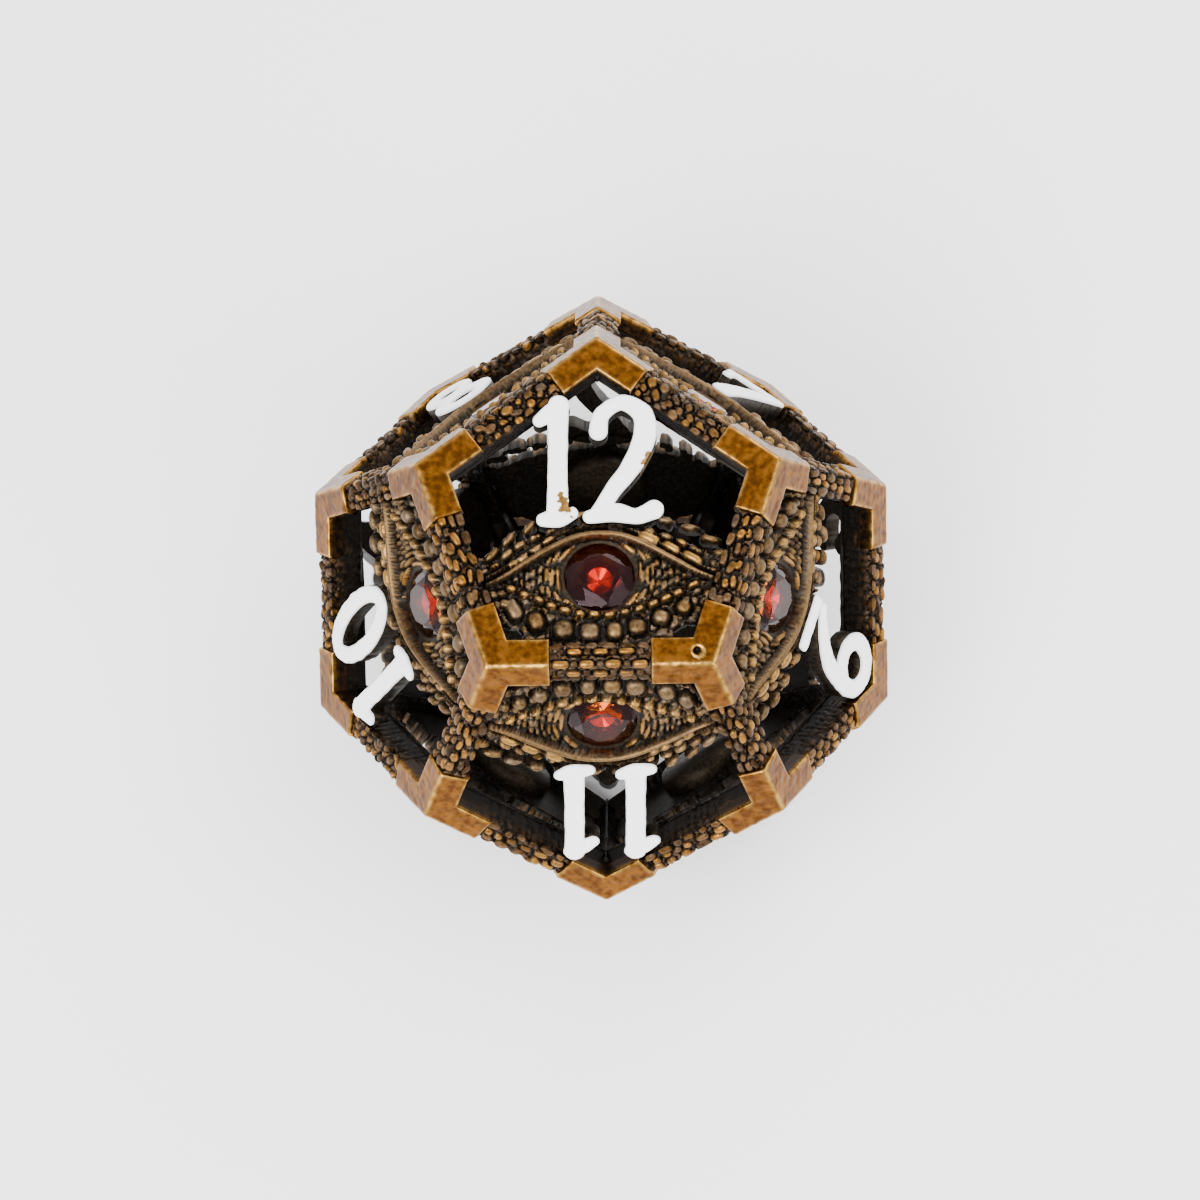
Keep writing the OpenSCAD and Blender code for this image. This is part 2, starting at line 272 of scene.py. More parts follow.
@dataclass
class Relief:
    """Height and finish values at points of a surface, built up one scale at a time.

    wear says how bright a worn top is, tone varies from scale to scale, and shade is painted shade: 0 in a
    dark gap, where it stands for both patina and shade in the hollow.
    near, moat_reach and roundness are in half sizes of a scale, and ridge_moat is in millimetres.
    """

    points: Array
    height: Array
    rng: np.random.Generator
    near: float = 1.6
    moat_reach: float = 1.28
    roundness: float = 2.4
    ridge_moat: float = 0.12
    wear: Array = field(init=False)
    tone: Array = field(init=False)
    shade: Array = field(init=False)

    def __post_init__(self) -> None:
        """Starts with a plain ground, darkened with painted shade."""
        count = len(self.points)
        self.wear = np.zeros(count)
        self.tone = np.full(count, 0.5)
        self.shade = np.full(count, 0.25)

    def stamp(self, scale: Scale) -> None:
        """Raises one scale, where it stands above what is there."""
        away = self.points - (scale.x, scale.y)
        reach = max(scale.half_l, scale.half_w) * self.near
        near = np.nonzero((np.abs(away[:, 0]) < reach) & (np.abs(away[:, 1]) < reach))[0]
        if not len(near):
            return
        c, s = math.cos(scale.angle), math.sin(scale.angle)
        u = (away[near, 0] * c + away[near, 1] * s) / scale.half_l
        v = (away[near, 1] * c - away[near, 0] * s) / scale.half_w
        rho = (np.abs(u) ** scale.square + np.abs(v) ** scale.square) ** (1 / scale.square)
        tone = self.rng.uniform(0, 1)
        # The moat round a scale is a groove darkened with painted shade.
        if scale.moat:
            low = self.height[near] < scale.foot + 0.6 * scale.rise
            ring = near[(rho >= 1) & (rho < self.moat_reach) & low]
            self.height[ring] = np.minimum(self.height[ring], scale.foot - scale.moat)
            self.shade[ring] = 0.0
            self.wear[ring] = 0.0
        bump = np.sqrt(np.maximum(1 - rho ** self.roundness, 0))
        z = scale.foot + scale.rise * bump
        hit = (rho < 1) & (z > self.height[near])
        at = near[hit]
        self.height[at] = z[hit]
        # Painted shade: the scale is darker towards its foot.
        self.shade[at] = smooth(0.0, 0.75, bump[hit])
        self.wear[at] = scale.gold * smooth(0.35, 0.95, bump[hit])
        self.tone[at] = tone

    def ridge(self, line: Array, foot: float, rise: float, gold: float) -> None:
        """Raises a smooth ridge along a line that has its half width at each point."""
        gap = line_gap(self.points, line)
        width = line[:, 2].max()
        # The groove beside the ridge and the ridge's foot are darkened with painted shade.
        moat = (gap > 0) & (gap < self.ridge_moat)
        self.height[moat] = np.minimum(self.height[moat], foot - 0.05)
        self.shade[moat] = np.minimum(self.shade[moat], 0.1)
        self.wear[moat] = 0.0
        bump = np.sqrt(np.clip(1 - np.maximum(1 + gap / width, 0) ** 2, 0, 1))
        z = foot + rise * bump
        hit = (gap < 0) & (z > self.height)
        self.height[hit] = z[hit]
        self.shade[hit] = smooth(0.0, 0.8, bump[hit])
        self.wear[hit] = gold * smooth(0.5, 1, bump[hit])
        self.tone[hit] = 0.5


class Layer(Enum):
    """Values that a mesh carries at its points for its finish and its painted shade."""

    WEAR = "wear"
    TONE = "tone"
    SHADE = "shade"


@dataclass
class Patch:
    """A part of a mesh: points, faces, the values at its points and the finish of its faces."""

    points: Array
    faces: list
    wear: Array
    tone: Array
    shade: Array
    finish: int = 0

    def moved(self, matrix: Array) -> "Patch":
        """The patch in another frame."""
        return replace(self, points=place(matrix, self.points))


def grid_faces(rows: int, columns: int, closed: bool = False) -> list:
    """Faces between the points of a grid laid out row by row.

    Args:
        rows: number of rows.
        columns: number of points in a row.
        closed: True where the last column joins the first.
    """
    faces = []
    for i in range(rows - 1):
        for j in range(columns if closed else columns - 1):
            k = (j + 1) % columns
            faces.append((i * columns + j, i * columns + k, (i + 1) * columns + k, (i + 1) * columns + j))
    return faces


def sheet(grid: Array, wear: Array, tone: Callable[[Array], Array], shade: Array) -> Patch:
    """A patch from a grid of points.

    Args:
        grid: points in rows and columns.
        wear: how worn each is, or one value for each column or row.
        tone: gives the tone at points.
        shade: how light each is with painted shade, like wear.
    """
    rows, columns = grid.shape[:2]
    points = grid.reshape(-1, 3)
    wear, shade = (np.broadcast_to(v, (rows, columns)).reshape(-1) for v in (wear, shade))
    return Patch(points, grid_faces(rows, columns), wear, tone(points), shade)


def make_piece(name: str, patches: list, finishes: list, angle: float = 40) -> bpy.types.Object:
    """One object from patches in millimetres, with its finishes in order.

    Args:
        name: name of the piece.
        patches: its patches, in the die's frame.
        finishes: materials, which each patch picks by number.
        angle: edges sharper than this stay sharp, in degrees.
    """
    points = np.concatenate([p.points for p in patches]) * MM
    faces, slots, start = [], [], 0
    for p in patches:
        faces += [tuple(i + start for i in f) for f in p.faces]
        slots += [p.finish] * len(p.faces)
        start += len(p.points)
    mesh = bpy.data.meshes.new(name)
    mesh.from_pydata(points.tolist(), [], faces)
    for layer in Layer:
        values = np.concatenate([getattr(p, layer.value) for p in patches]).astype(np.float32)
        mesh.attributes.new(layer.value, "FLOAT", "POINT").data.foreach_set("value", values)
    for material in finishes:
        mesh.materials.append(material)
    mesh.polygons.foreach_set("material_index", slots)
    work = bmesh.new()
    work.from_mesh(mesh)
    bmesh.ops.remove_doubles(work, verts=work.verts, dist=0.0005 * MM)
    bmesh.ops.dissolve_degenerate(work, dist=0.0002 * MM, edges=work.edges)
    bmesh.ops.recalc_face_normals(work, faces=work.faces)
    work.to_mesh(mesh)
    work.free()
    mesh.set_sharp_from_angle(angle=math.radians(angle))
    mesh.polygons.foreach_set("use_smooth", [True] * len(mesh.polygons))
    piece = bpy.data.objects.new(name, mesh)
    bpy.context.scene.collection.objects.link(piece)
    return piece


def settle(piece: bpy.types.Object, nodes: list) -> None:
    """Ties a piece to the frame.

    Args:
        piece: the piece.
        nodes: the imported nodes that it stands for.
    """
    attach(piece, "root")
    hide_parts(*nodes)
    log.info("%s: %d faces, for %s", piece.name, len(piece.data.polygons), ", ".join(nodes))


def plate(
    gap: Callable[[Array], Array], dress: Callable[[Array, Array], Relief],
    low: tuple, high: tuple, step: float, bottom: float, rim: float = 0.05,
) -> Patch:
    """A closed plate with a given outline and a relief on top.

    Args:
        gap: signed distance to the outline.
        dress: gives the relief at points, from the points and their signed distance.
        low: lower corner of the area that holds the outline.
        high: upper corner of it.
        step: spacing of the points.
        bottom: height of the flat underside.
        rim: radius of the rounded upper edge.
    """
    xs = np.arange(low[0], high[0] + step, step)
    ys = np.arange(low[1], high[1] + step, step)
    grid = np.stack(np.meshgrid(xs, ys), -1).reshape(-1, 2)
    away = gap(grid).reshape(len(ys), len(xs))
    keep = away < 0.45 * step
    cells = keep[:-1, :-1] & keep[1:, :-1] & keep[:-1, 1:] & keep[1:, 1:]
    rows, columns = np.nonzero(cells)
    first = rows * len(xs) + columns
    quads = np.stack([first, first + 1, first + 1 + len(xs), first + len(xs)], 1)
    used, quads = np.unique(quads, return_inverse=True)
    quads = quads.reshape(-1, 4)
    p = grid[used]
    sides = np.concatenate([quads[:, [i, (i + 1) % 4]] for i in range(4)])
    _, index, count = np.unique(np.sort(sides, 1), axis=0, return_index=True, return_counts=True)
    border = sides[index[count == 1]]
    edge_points = np.unique(border)
    for _ in range(3):
        q = p[edge_points]
        here = gap(q)
        slope = np.stack([gap(q + (1e-3, 0)) - here, gap(q + (0, 1e-3)) - here], 1) / 1e-3
        slope /= np.maximum(np.hypot(slope[:, 0], slope[:, 1]), 0.3)[:, None]
        p[edge_points] = q - np.clip(here, -0.8 * step, 0.8 * step)[:, None] * slope
    inside = np.minimum(gap(p), 0)
    relief = dress(p, inside)
    depth = np.clip(-inside / rim, 0, 1)
    z = relief.height - rim * (1 - np.sqrt(np.clip(1 - (1 - depth) ** 2, 0, 1)))
    z = np.maximum(z, bottom + 0.02)
    top = np.column_stack([p, z])
    under = np.column_stack([p, np.full(len(p), bottom)])
    n = len(p)
    faces = quads.tolist() + (quads[:, ::-1] + n).tolist()
    faces += [(b, a, a + n, b + n) for a, b in border.tolist()]
    # Painted shade on the underside of the plate.
    underside_shade = np.full(n, 0.12)
    return Patch(
        np.concatenate([top, under]), faces, np.concatenate([relief.wear, np.zeros(n)]),
        np.concatenate([relief.tone, np.full(n, 0.4)]), np.concatenate([relief.shade, underside_shade]),
    )


def turned(profile: list, x: float, y: float, count: int, finish: int, shade: float) -> Patch:
    """A ring turned round a line square to the face.

    Args:
        profile: closed outline as radius and height.
        x: place of the line across the face.
        y: place of the line up the face.
        count: points round the ring.
        finish: number of its finish.
        shade: how light it is with painted shade, from 0 in a dark gap to 1.
    """
    around = np.linspace(0, 2 * math.pi, count, endpoint=False)
    rings = [
        np.column_stack([x + r * np.cos(around), y + r * np.sin(around), np.full(count, z)])
        for r, z in profile + profile[:1]
    ]
    points = np.concatenate(rings)
    n = len(points)
    return Patch(
        points, grid_faces(len(rings), count, closed=True),
        np.full(n, 0.3 * shade), np.full(n, 0.5), np.full(n, shade), finish,
    )


# ---- finishes ----


def socket(group: bpy.types.NodeTree, name: str, way: str, kind: str, value: object = None) -> None:
    """Adds one named socket to a node group."""
    made = group.interface.new_socket(name=name, in_out=way, socket_type="NodeSocket" + kind)
    if value is not None:
        made.default_value = value


def wire(tree: bpy.types.NodeTree, *pairs: tuple) -> None:
    """Links pairs of sockets."""
    for out, into in pairs:
        tree.links.new(out, into)


def add(tree: bpy.types.NodeTree, kind: str, **values: object) -> bpy.types.Node:
    """Adds a shader node and sets its properties."""
    node = tree.nodes.new("ShaderNode" + kind)
    for key, value in values.items():
        setattr(node, key, value)
    return node


def mix_colour(tree: bpy.types.NodeTree) -> bpy.types.Node:
    """Adds a colour mixer. Inputs 0, 6 and 7 are the share and the two colours, and output 2 the result."""
    return add(tree, "Mix", data_type="RGBA")


def math_node(tree: bpy.types.NodeTree, operation: str, a: object, b: object) -> bpy.types.NodeSocket:
    """Adds a maths node on sockets or numbers and returns its output."""
    node = add(tree, "Math", operation=operation)
    for i, value in enumerate((a, b)):
        if isinstance(value, bpy.types.NodeSocket):
            tree.links.new(value, node.inputs[i])
        else:
            node.inputs[i].default_value = value
    return node.outputs[0]


def new_material(name: str) -> tuple:
    """Starts a material and returns it with its node tree and its main shader."""
    made = bpy.data.materials.new(name)
    made.use_nodes = True
    return made, made.node_tree, made.node_tree.nodes["Principled BSDF"]


def aged_and_shaded_metal_group() -> bpy.types.NodeTree:
    """The wear and painted shade that the metal finishes share: dark where the shade layer is low (patina in
    gaps, painted shade on inner walls, undersides and pits), brown between and bright where rubbed.
    """
    g = bpy.data.node_groups.new("aged_and_shaded_metal", "ShaderNodeTree")
    socket(g, "Gap And Shade Colour", "INPUT", "Color", (0.01, 0.008, 0.006, 1))
    socket(g, "Body Colour", "INPUT", "Color", (0.1, 0.07, 0.04, 1))
    socket(g, "Pale Body", "INPUT", "Color", (0.2, 0.17, 0.13, 1))
    socket(g, "Worn Colour", "INPUT", "Color", (0.6, 0.35, 0.1, 1))
    socket(g, "Grain Scale", "INPUT", "Float", 4000.0)
    socket(g, "Grain", "INPUT", "Float", 0.4)
    socket(g, "Rough", "INPUT", "Float", 0.6)
    socket(g, "Worn Rough", "INPUT", "Float", 0.3)
    socket(g, "Colour", "OUTPUT", "Color")
    socket(g, "Roughness", "OUTPUT", "Float")
    socket(g, "Metallic", "OUTPUT", "Float")
    socket(g, "Height", "OUTPUT", "Float")
    i, o = g.nodes.new("NodeGroupInput"), g.nodes.new("NodeGroupOutput")
    here = add(g, "TexCoord")
    fine = add(g, "TexNoise")
    fine.inputs["Detail"].default_value = 4
    broad = add(g, "TexNoise")
    broad.inputs["Scale"].default_value = 700
    broad.inputs["Detail"].default_value = 3
    wire(g, (here.outputs["Object"], fine.inputs["Vector"]),
         (here.outputs["Object"], broad.inputs["Vector"]),
         (i.outputs["Grain Scale"], fine.inputs["Scale"]))
    wear, tone, shade = (add(g, "Attribute", attribute_name=layer.value) for layer in Layer)
    swing = math_node(g, "MULTIPLY", math_node(g, "SUBTRACT", fine.outputs["Fac"], 0.5), i.outputs["Grain"])
    body = mix_colour(g)
    share = math_node(g, "ADD", tone.outputs["Fac"], math_node(g, "MULTIPLY", swing, 2.0))
    body.clamp_factor = True
    wire(g, (share, body.inputs[0]), (i.outputs["Body Colour"], body.inputs[6]),
         (i.outputs["Pale Body"], body.inputs[7]))
    # Painted shade: the shade layer mixes towards the dark gap colour.
    lit = mix_colour(g)
    lit_share = math_node(g, "ADD", shade.outputs["Fac"], math_node(g, "MULTIPLY", swing, 0.6))
    wire(g, (lit_share, lit.inputs[0]), (i.outputs["Gap And Shade Colour"], lit.inputs[6]),
         (body.outputs[2], lit.inputs[7]))
    patchy = math_node(g, "ADD", broad.outputs["Fac"], 0.45)
    rubbed = math_node(g, "MULTIPLY", wear.outputs["Fac"], patchy)
    flecks = math_node(g, "MULTIPLY", swing, math_node(g, "MULTIPLY", rubbed, 1.5))
    rubbed = math_node(g, "ADD", rubbed, flecks)
    bright = mix_colour(g)
    bright.clamp_factor = True
    wire(g, (rubbed, bright.inputs[0]), (lit.outputs[2], bright.inputs[6]),
         (i.outputs["Worn Colour"], bright.inputs[7]), (bright.outputs[2], o.inputs["Colour"]))
    rough = add(g, "Mix", data_type="FLOAT")
    wire(g, (rubbed, rough.inputs[0]), (i.outputs["Rough"], rough.inputs[2]),
         (i.outputs["Worn Rough"], rough.inputs[3]))
    uneven = math_node(g, "ADD", rough.outputs[0], math_node(g, "MULTIPLY", swing, 0.4))
    wire(g, (uneven, o.inputs["Roughness"]))
    # Metallic stays high where shade is low, so the painted shade shows no grey sheen.
    metal = add(g, "Math", operation="MULTIPLY_ADD")
    metal.use_clamp = True
    metal.inputs[1].default_value = 0.3
    metal.inputs[2].default_value = 0.85
    wire(g, (shade.outputs["Fac"], metal.inputs[0]), (metal.outputs[0], o.inputs["Metallic"]))
    wire(g, (fine.outputs["Fac"], o.inputs["Height"]))
    return g


@dataclass(frozen=True)
class AgedAndShadedMetal:
    """A cast and patinated metal, bright where it is rubbed and dark where painted shade lies."""

    name: str
    # gap is the colour where the shade layer is 0: patina in gaps and painted shade.
    gap: tuple
    body: tuple
    pale: tuple
    worn: tuple
    grain_scale: float
    grain: float
    rough: float
    worn_rough: float
    coat: float
    bump: float

    def material(self, group: bpy.types.NodeTree) -> bpy.types.Material:
        """Makes the material round the shared group of wear and painted shade."""
        made, tree, shader = new_material(self.name)
        wear = add(tree, "Group", node_tree=group)
        values = {
            "Gap And Shade Colour": (*self.gap, 1), "Body Colour": (*self.body, 1), "Pale Body": (*self.pale, 1),
            "Worn Colour": (*self.worn, 1), "Grain Scale": self.grain_scale, "Grain": self.grain,
            "Rough": self.rough, "Worn Rough": self.worn_rough,
        }
        for key, value in values.items():
            wear.inputs[key].default_value = value
        bump = add(tree, "Bump")
        bump.inputs["Strength"].default_value = self.bump
        bump.inputs["Distance"].default_value = 0.02 * MM
        shader.inputs["Coat Weight"].default_value = self.coat
        shader.inputs["Coat Roughness"].default_value = 0.18
        wire(tree, (wear.outputs["Colour"], shader.inputs["Base Color"]),
             (wear.outputs["Roughness"], shader.inputs["Roughness"]),
             (wear.outputs["Metallic"], shader.inputs["Metallic"]),
             (wear.outputs["Height"], bump.inputs["Height"]),
             (bump.outputs["Normal"], shader.inputs["Normal"]))
        return made


@dataclass(frozen=True)
class HardEnamel:
    """White fired enamel, slightly uneven."""

    name: str = "white_hard_enamel"
    colour: tuple = (0.93, 0.93, 0.94)
    dull: tuple = (0.7, 0.7, 0.73)
    rough: float = 0.28

    def material(self) -> bpy.types.Material:
        """Makes the material."""
        made, tree, shader = new_material(self.name)
        here, cloud, mix = add(tree, "TexCoord"), add(tree, "TexNoise"), mix_colour(tree)
        cloud.inputs["Scale"].default_value = 900
        cloud.inputs["Detail"].default_value = 2
        mix.inputs[6].default_value = (*self.dull, 1)
        mix.inputs[7].default_value = (*self.colour, 1)
        bump = add(tree, "Bump")
        bump.inputs["Strength"].default_value = 0.25
        bump.inputs["Distance"].default_value = 0.02 * MM
        shader.inputs["Coat Weight"].default_value = 0.3
        # The shade layer greys the enamel towards the outline of a numeral.
        shade = add(tree, "Attribute", attribute_name=Layer.SHADE.value)
        mottle = math_node(tree, "MULTIPLY", cloud.outputs["Fac"], 0.3)
        share = math_node(tree, "ADD", shade.outputs["Fac"], mottle)
        rough = math_node(tree, "MULTIPLY_ADD", cloud.outputs["Fac"], 0.2)
        rough.node.inputs[2].default_value = self.rough - 0.1
        wire(tree, (here.outputs["Object"], cloud.inputs["Vector"]), (share, mix.inputs[0]),
             (mix.outputs[2], shader.inputs["Base Color"]), (rough, shader.inputs["Roughness"]),
             (cloud.outputs["Fac"], bump.inputs["Height"]),
             (bump.outputs["Normal"], shader.inputs["Normal"]))
        return made


@dataclass(frozen=True)
class RedStone:
    """Clear faceted glass, deep red, with its reflections held down so that its colour shows."""

    name: str = "red_faceted_glass"
    colour: tuple = (0.97, 0.26, 0.02)
    deep: tuple = (0.82, 0.05, 0.008)

    def material(self) -> bpy.types.Material:
        """Makes the material."""
        made, tree, shader = new_material(self.name)
        here, cloud, mix = add(tree, "TexCoord"), add(tree, "TexNoise"), mix_colour(tree)
        cloud.inputs["Scale"].default_value = 500
        mix.inputs[6].default_value = (*self.deep, 1)
        mix.inputs[7].default_value = (*self.colour, 1)
        shader.inputs["Transmission Weight"].default_value = 1.0
        shader.inputs["Metallic"].default_value = 0.0
        shader.inputs["IOR"].default_value = 1.55
        shader.inputs["Specular Tint"].default_value = (0.2, 0.15, 0.17, 1)
        shader.inputs["Roughness"].default_value = 0.02
        wire(tree, (here.outputs["Object"], cloud.inputs["Vector"]), (cloud.outputs["Fac"], mix.inputs[0]),
             (mix.outputs[2], shader.inputs["Base Color"]))
        return made


@dataclass(frozen=True)
class PaleFloor:
    """A matt pale surface."""

    name: str = "pale_floor"
    colour: tuple = (0.95, 0.95, 0.95)

    def material(self) -> bpy.types.Material:
        """Makes the material."""
        made, _, shader = new_material(self.name)
        shader.inputs["Base Color"].default_value = (*self.colour, 1)
        shader.inputs["Roughness"].default_value = 0.9
        return made


# gap is the colour for patina in the gaps and for painted shade on inner walls, undersides and pits.
CAGE_BRONZE = AgedAndShadedMetal(
    "aged_cage_bronze", gap=(0.005, 0.004, 0.003), body=(0.02, 0.01, 0.004), pale=(0.064, 0.043, 0.029),
    worn=(0.28, 0.125, 0.02), grain_scale=6500, grain=1.1, rough=0.5, worn_rough=0.32, coat=0.02, bump=0.4)
EYE_BRONZE = AgedAndShadedMetal(
    "aged_eye_bronze", gap=(0.005, 0.004, 0.003), body=(0.032, 0.019, 0.01), pale=(0.1, 0.073, 0.049),
    worn=(0.3, 0.155, 0.036), grain_scale=6500, grain=1.1, rough=0.5, worn_rough=0.32, coat=0.02, bump=0.4)
CAP_COPPER = AgedAndShadedMetal(
    "burnished_cap_copper", gap=(0.006, 0.003, 0.0015), body=(0.075, 0.024, 0.002), pale=(0.165, 0.06, 0.006),
    worn=(0.42, 0.23, 0.05), grain_scale=4200, grain=1.2, rough=0.36, worn_rough=0.28, coat=0.05, bump=0.4)
FOIL = AgedAndShadedMetal(
    "stone_foil", gap=(0.34, 0.16, 0.08), body=(0.34, 0.16, 0.08), pale=(0.42, 0.22, 0.1),
    worn=(0.42, 0.22, 0.1), grain_scale=3000, grain=0.1, rough=0.22, worn_rough=0.18, coat=0.0, bump=0.05)


# ---- sub-assemblies ----


class BarStyle(Enum):
    """How the scales of a bar are laid."""

    NEAT = "three straight rows"
    STAGGERED = "small leaning rows"
    PEBBLED = "crowded pebbles"


@dataclass(frozen=True)
class Crowd:
    """How scales crowd along a bar, in millimetres. A pair is the least and most of a random value.

    A row further than dull_past from the ridge is dull, and so is a scale whose draw lies in dull_draws.
    """

    rows: tuple
    start: float
    half_l: tuple
    half_w: tuple
    stray: float
    lean: float
    foot: tuple
    rise: tuple
    gap: tuple
    square: float
    dull_past: float
    dull_draws: tuple
    dull: tuple
    bright: tuple
    moat: float = 0.07

    def scales(self, clear: float, rng: np.random.Generator) -> list:
        """The scales between the caps, which are clear from the middle of the bar."""
        out = []
        for u in self.rows:
            t = -clear + rng.uniform(0.0, self.start)
            while t < clear:
                half_l = rng.uniform(*self.half_l)
                plain = abs(u) > self.dull_past or self.dull_draws[0] <= rng.random() < self.dull_draws[1]
                golden = rng.uniform(*(self.dull if plain else self.bright))
                out.append(Scale(
                    t + half_l, u + rng.uniform(-self.stray, self.stray), half_l, rng.uniform(*self.half_w),
                    rng.uniform(-self.lean, self.lean), rng.uniform(*self.foot), rng.uniform(*self.rise),
                    golden, self.square, self.moat))
                t += 2 * half_l + rng.uniform(*self.gap)
        return out


CROWDS = {
    BarStyle.STAGGERED: Crowd(
        rows=(-0.84, -0.5, -0.17, 0.17, 0.5, 0.84), start=0.4, half_l=(0.19, 0.36), half_w=(0.12, 0.19),
        stray=0.07, lean=0.3, foot=(-0.03, 0.02), rise=(0.09, 0.17), gap=(0.06, 0.3), square=2.8,
        dull_past=0.6, dull_draws=(0.0, 0.4), dull=(0.0, 0.35), bright=(0.6, 1.0)),
    BarStyle.PEBBLED: Crowd(
        rows=(-0.9, -0.54, -0.18, 0.18, 0.54, 0.9), start=0.3, half_l=(0.15, 0.3), half_w=(0.12, 0.21),
        stray=0.09, lean=0.8, foot=(-0.04, 0.03), rise=(0.08, 0.17), gap=(0.04, 0.2), square=2.3,
        dull_past=FAR, dull_draws=(0.3, 1.0), dull=(0.0, 0.3), bright=(0.4, 0.95)),
}


@dataclass
class ScaledCage:
    """The cage of thirty scaled bars, without the caps. Sizes in millimetres.

    drop is how far a bar lies below the faces, under_cap the same beneath the caps, and reach how far
    it runs from its middle.
    """

    deep: float = 1.7
    drop: float = 0.2
    under_cap: float = 0.76
    step: float = 0.05
    reach: float = 4.35
    pitch: float = 1.07

    @property
    def clear(self) -> float:
        """Half the length of a bar between its caps."""
        return EDGE / 2 - CAP_ARM

    @property
    def wall(self) -> float:
        """Distance from the ridge to the inner edge of a bar's top."""
        return BAR_WIDTH - self.drop / math.tan(HALF_RIDGE)

    def section(self, drop: float) -> tuple[Array, Array]:
        """Outline of a bar square to its edge, from the ridge down one wall, round and back.

        Args:
            drop: how far its top lies below the faces.

        Returns:
            Points as (across, out), and the distance round the outline from the ridge, less than 0 on
            one side.
        """
        cos_a, sin_a = math.cos(HALF_RIDGE), math.sin(HALF_RIDGE)
        down, out = np.array([sin_a, -cos_a]), np.array([cos_a, sin_a])
        turns = [
            np.array([0, -drop / sin_a]), BAR_WIDTH * down - drop * out,
            BAR_WIDTH * down - self.deep * out, np.array([0, -self.deep / sin_a]),
        ]
        counts = (18, 18, 6)
        side = []
        for a, b, count in zip(turns[:-1], turns[1:], counts):
            side += [a + (b - a) * k / count for k in range(count)]
        side.append(turns[-1])
        side = np.array(side)
        gone = np.concatenate([[0], np.cumsum(np.hypot(*np.diff(side, axis=0).T))])
        mirror = side[-2:0:-1] * (-1, 1)
        return np.concatenate([side, mirror]), np.concatenate([gone, -gone[-2:0:-1]])

    def ground(self, rng: np.random.Generator) -> list:
        """The small low scales that fill the gaps of a bar."""
        out = []
        for u in np.arange(-self.wall - 1.2, self.wall + 1.25, 0.3):
            for t in np.arange(-self.clear - 0.3, self.clear + 0.3, 0.34):
                jig = rng.uniform(-0.07, 0.07, 2)
                out.append(Scale(
                    t + jig[0], u + jig[1], rng.uniform(0.14, 0.22), rng.uniform(0.11, 0.17),
                    rng.uniform(0, 3), -0.03, rng.uniform(0.03, 0.08), rng.uniform(0, 0.12)))
        return out

    def neat(self, rng: np.random.Generator) -> list:
        """Three straight rows of golden scales with dull ones between, and plain rows outside them."""
        out = []
        for u, count, half_l, half_w in ((0.0, 4, 0.36, 0.18), (0.52, 3, 0.34, 0.15), (-0.5, 3, 0.34, 0.17)):
            for k in range(count):
                t = (k - (count - 1) / 2) * self.pitch + rng.uniform(-0.03, 0.03)
                out.append(Scale(
                    t, u + rng.uniform(-0.02, 0.02), half_l * rng.uniform(0.88, 1.04), half_w,
                    rng.uniform(-0.06, 0.06), 0.0, 0.15, rng.uniform(0.55, 1.0), 3.0, 0.07))
            for k in range(count + 1):
                t = (k - count / 2) * self.pitch + rng.uniform(-0.03, 0.03)
                out.append(Scale(t, u, 0.17, half_w * 0.9, 0, -0.02, 0.1, rng.uniform(0.0, 0.15), moat=0.02))
        for u in (0.78, -0.78):
            for k in range(6):
                out.append(Scale(
                    (k - 2.5) * 0.7, u, 0.26, 0.14, rng.uniform(-0.2, 0.2), -0.04, 0.1,
                    rng.uniform(0, 0.12), moat=0.02))
        return out

    def scales(self, style: BarStyle, rng: np.random.Generator) -> list:
        """The scales of a bar, with x along it and y round it from its ridge."""
        ground = self.ground(rng)
        if style is BarStyle.NEAT:
            return ground + self.neat(rng)
        return ground + CROWDS[style].scales(self.clear, rng)

    def bar(self, n: int, bearing: float, style: BarStyle) -> Patch:
        """One bar, closed at both ends under the caps."""
        rng = np.random.default_rng((SEED, n, bearing % 360))
        clear = self.clear - 0.01
        inner = np.linspace(-clear, clear, round(2 * clear / self.step) + 1)
        tails = np.linspace(clear + 0.02, self.reach, 7)
        along = np.concatenate([-tails[::-1], inner, tails])
        high, round_it = self.section(self.drop)
        low, _ = self.section(self.under_cap)
        full = np.abs(along) <= clear + 1e-6
        section = np.where(full[:, None, None], high, low)
        after, before = np.roll(high, -1, 0), np.roll(high, 1, 0)
        normal = np.stack([before[:, 1] - after[:, 1], after[:, 0] - before[:, 0]], 1)
        normal /= np.hypot(normal[:, 0], normal[:, 1])[:, None]
        flat = np.stack(np.meshgrid(along, round_it, indexing="ij"), -1).reshape(-1, 2)
        ground = 0.02 * Waves(SEED + n, 1.3)(flat)
        relief = Relief(flat, ground - 0.05, rng)
        for scale in self.scales(style, rng):
            relief.stamp(scale)
        wall = self.wall + 0.25
        inside = smooth(wall, wall + 0.6, np.abs(flat[:, 1]))
        lift = (relief.height * (1 - 0.4 * inside)).reshape(len(along), -1)
        lift *= full[:, None]
        across = section[:, :, 0] + lift * normal[:, 0]
        out = section[:, :, 1] + lift * normal[:, 1]
        x = np.broadcast_to(along[:, None], across.shape)
        points = np.stack([x, across, out], -1).reshape(-1, 3)
        columns = len(high)
        faces = grid_faces(len(along), columns, closed=True)
        half = columns // 2
        for start in (0, (len(along) - 1) * columns):
            for j in range(half - 1):
                a, b = start + j, start + j + 1
                c, d = start + (columns - j - 1) % columns, start + (columns - j) % columns
                faces.append((a, b, c, d) if j else (a, b, c))
            faces.append((start + half - 1, start + half, start + half + 1))
        # Painted shade: the inner walls of a bar, inside the die, are darkened.
        shade = relief.shade * (1 - 0.85 * inside)
        patch = Patch(points, faces, relief.wear * (1 - inside), relief.tone, shade)
        return patch.moved(edge_frame(n, bearing))

